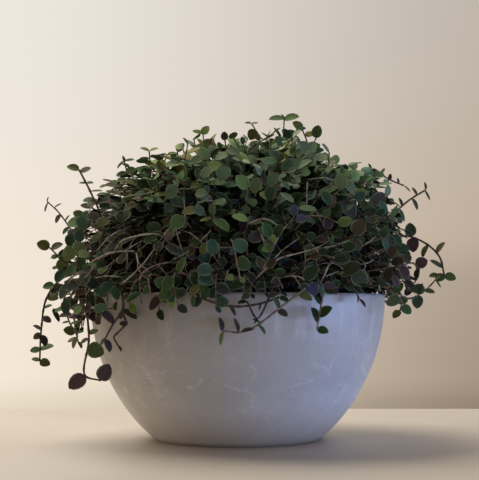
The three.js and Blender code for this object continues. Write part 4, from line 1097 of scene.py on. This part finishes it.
def fills_opening(rows):
    """Whether two leaves of a shoot, or the one at its tip, would be in an opening as seen from the front."""
    inside = [in_any(OPENINGS, row[0] + row[1] * row[3] / 2) for row in rows]
    return sum(inside) > 1 or inside[:1] == [True]


def make_mound_foliage():
    parts = {name: ([], []) for name in ("crown", "front", "left", "right", "back")}
    by_rule = [*top_shoots(), *mound_shoots(), *fringe_shoots()]
    by_rule = [shoot for shoot in by_rule if not fills_opening(shoot[1])]
    for tip, rows, stem in [*by_rule, *seen_shoots()]:
        leaves, stems = parts[sector_of(tip)]
        leaves.extend(row for row in rows if not over_clear_rim(row))
        stems.append(stem)
    for name, (leaves, stems) in parts.items():
        leafy_piece(f"mound_{name}", leaves, stems, "mound_leaves", "leafy_mound")


def make_mound_heart():
    """The dense inside of the mound, crumpled, that the shoots come out of."""
    pick_out()
    bpy.ops.mesh.primitive_ico_sphere_add(subdivisions=5, radius=1)
    heart = bpy.context.object
    heart.name = "mound_heart"
    for vertex in heart.data.vertices:
        way = unit(np.array(vertex.co))
        flat = unit(np.array([way[0], way[1], max(way[2], -0.12)]))
        point = Vector(DOME_CENTRE + flat * dome(flat)[0] * HEART_SHARE)
        point += Vector(way) * noise.fractal(point * 0.045, 0.9, 2.0, 4) * 9
        r = math.hypot(point.x, point.y)
        if point.z < 140 and r > HEART_RADIUS:
            point.x, point.y = point.x * HEART_RADIUS / r, point.y * HEART_RADIUS / r
        if way[2] < 0:
            point.z = max(soil_top(min(r, HEART_RADIUS)) + 1.0, 0)
        vertex.co = point * MM
    finished(heart, heart_finish(), HEART_SMOOTH, "mound_leaves", "leafy_mound")


def make_inner_leaves():
    """Older leaves of dark tones, painted darker and bluer still as the shade inside the mound, that fill the
    space between the heart and the shoots.
    """
    draw = draws_from(70001)
    rows = []
    for i in range(INNER_LEAVES):
        way = even_way(i, INNER_LEAVES, 0.3 * draw())
        base = DOME_CENTRE + way * dome(way)[0] * (0.68 + 0.14 * draw())
        if base[2] < 127:
            continue
        direction = unit(0.5 * way + 1.6 * jitter(draw))
        facing = unit(0.5 * way + 0.7 * UP + 0.8 * jitter(draw))
        normal = unit(facing - direction * np.dot(facing, direction))
        tone = pick(["dark", "plum", "brown", "dark", "mid"], draw)
        form = pick(FORM_MIX, draw)
        length = 12 + 4 * draw()
        # Painted shade with a painted bluish cool light: the inner leaves are darkened as they lie in the
        # mound's shade.
        rows.append(leaf_row(base, direction, normal, length, form, tone, draw, light=0.38, painted_cool_light=0.4))
    leaves = leaves_object("mound_inner_leaves", rows, LEAF_SKINS["mound_leaves"])
    finished(leaves, None, LEAF_SMOOTH, "mound_leaves", "leafy_mound")


def make_mound_runners():
    """Long bare stems that cross the lower half of the mound."""
    draw = draws_from(50021)
    stems = []
    for i in range(BARE_STEMS):
        bearing = 2 * math.pi * (i + 0.8 * draw()) / BARE_STEMS
        span = 0.9 * (draw() - 0.5)
        low, high = 0.02 + 0.16 * draw(), 0.08 + 0.5 * draw() ** 1.5
        bow = 0.16 * (draw() - 0.35)
        level = 0.87 + 0.09 * draw()
        points = []
        for t in np.linspace(0, 1, 5):
            rise = low + (high - low) * t + bow * math.sin(math.pi * t)
            way = unit(level_way(bearing + span * t) + UP * rise)
            wave = level - 0.08 * (1 - math.sin(math.pi * min(1, t + 0.15))) + 0.02 * (draw() - 0.5)
            points.append(DOME_CENTRE + way * dome(way)[0] * wave)
        thick = 0.36 + 0.22 * draw()
        stems.append(jointed(smooth_path(points, 4), thick, 0.75 * thick, 24))
    for route in SEEN_STEMS:
        ends = (0, len(route) - 1)
        path = smooth_path([on_mound(x, z, 0.9 if k in ends else 0.975) for k, (x, z) in enumerate(route)], 3)
        stems.append(jointed(path, 0.66, 0.52, 22))
    runners = stems_object("mound_runners", stems, BARE_STEM_SKIN)
    finished(runners, None, LEAF_SMOOTH, "mound_leaves", "leafy_mound")


make_mound_foliage()
make_mound_heart()
make_inner_leaves()
make_mound_runners()

# ---------------------------------------------------------------- floor and light
FLOOR_WIDTH, FLOOR_FRONT, FLOOR_BACK = 1.24, -0.5, 0.296
# The name, place, aim, size, energy, colour and spread of each lamp.
LAMPS = [
    ("overhead", (-0.48, 0.36, 1.35), (0, 0, 0.15), (1.0, 0.8), 16, (1, 0.95, 0.82), 180),
    ("cool_side", (1.02, -0.14, -0.013), (0.05, 0, 0.06), (1.5, 0.035), 1.3, (0.36, 0.52, 1), 50),
    ("cool_front", (0.6, -0.72, -0.013), (0.05, -0.03, 0.06), (1.0, 0.035), 0.17, (0.36, 0.52, 1), 50),
    ("warm_side", (-0.8, 0.25, 0.12), (-0.1, 0, 0.04), (0.5, 0.2), 0.42, (1, 0.78, 0.52), 180),
    ("low_front", (-0.05, -0.75, -0.005), (0, 0, 0.05), (0.8, 0.03), 0.14, (1, 0.93, 0.86), 180),
]


def make_floor():
    pick_out()
    bpy.ops.mesh.primitive_plane_add(size=1)
    floor = bpy.context.object
    floor.name = "pale_floor"
    for vertex in floor.data.vertices:
        vertex.co = (FLOOR_WIDTH * vertex.co.x, FLOOR_BACK if vertex.co.y > 0 else FLOOR_FRONT, 0)
    finish = finish_of("pale_floor")
    colour = finish.mix(finish.spread(finish.noise(3), 0.3, 0.7), (0.67, 0.59, 0.51), (0.75, 0.67, 0.59))
    floor.data.materials.append(finish.dress(colour, 0.5))


def area_light(name, place, aim, size, energy, colour, spread):
    bpy.ops.object.light_add(type="AREA", location=place)
    light = bpy.context.object
    light.name = name
    light.rotation_euler = (Vector(aim) - Vector(place)).to_track_quat("-Z", "Y").to_euler()
    light.data.shape = "RECTANGLE"
    light.data.size, light.data.size_y = size
    light.data.energy = energy
    light.data.color = colour
    light.data.spread = math.radians(spread)


def make_world():
    """A pale backdrop all round, dimmer to the right, low down and on the camera's side."""
    world = bpy.data.worlds.new("pale_room")
    bpy.context.scene.world = world
    room = Finish(world)
    across, beyond, height = room.split(room.add("TexCoord").outputs["Generated"])
    to_right = room.spread(across, -0.26, 0.3)
    high = room.mix(to_right, (0.86, 0.81, 0.74), (0.50, 0.44, 0.38))
    low_right = room.mix(room.spread(height, 0.02, 0.075), (0.34, 0.258, 0.192), (0.49, 0.36, 0.245))
    low = room.mix(to_right, (0.94, 0.82, 0.68), low_right)
    foot = room.mix(to_right, (0.79, 0.705, 0.545), (0.235, 0.174, 0.126))
    low = room.mix(room.spread(height, -0.088, -0.052), foot, low)
    pale = room.mix(room.spread(height, -0.08, 0.26), low, high)
    dim = room.mix(to_right, (0.160, 0.127, 0.098), (0.122, 0.130, 0.150))
    room.feed(room.nodes["Background"], "Color", room.mix(room.spread(beyond, -0.1, 0.85, 1, 0), pale, dim))


make_floor()
make_world()
for lamp in LAMPS:
    area_light(*lamp)
bpy.context.scene.view_settings.view_transform = "Standard"
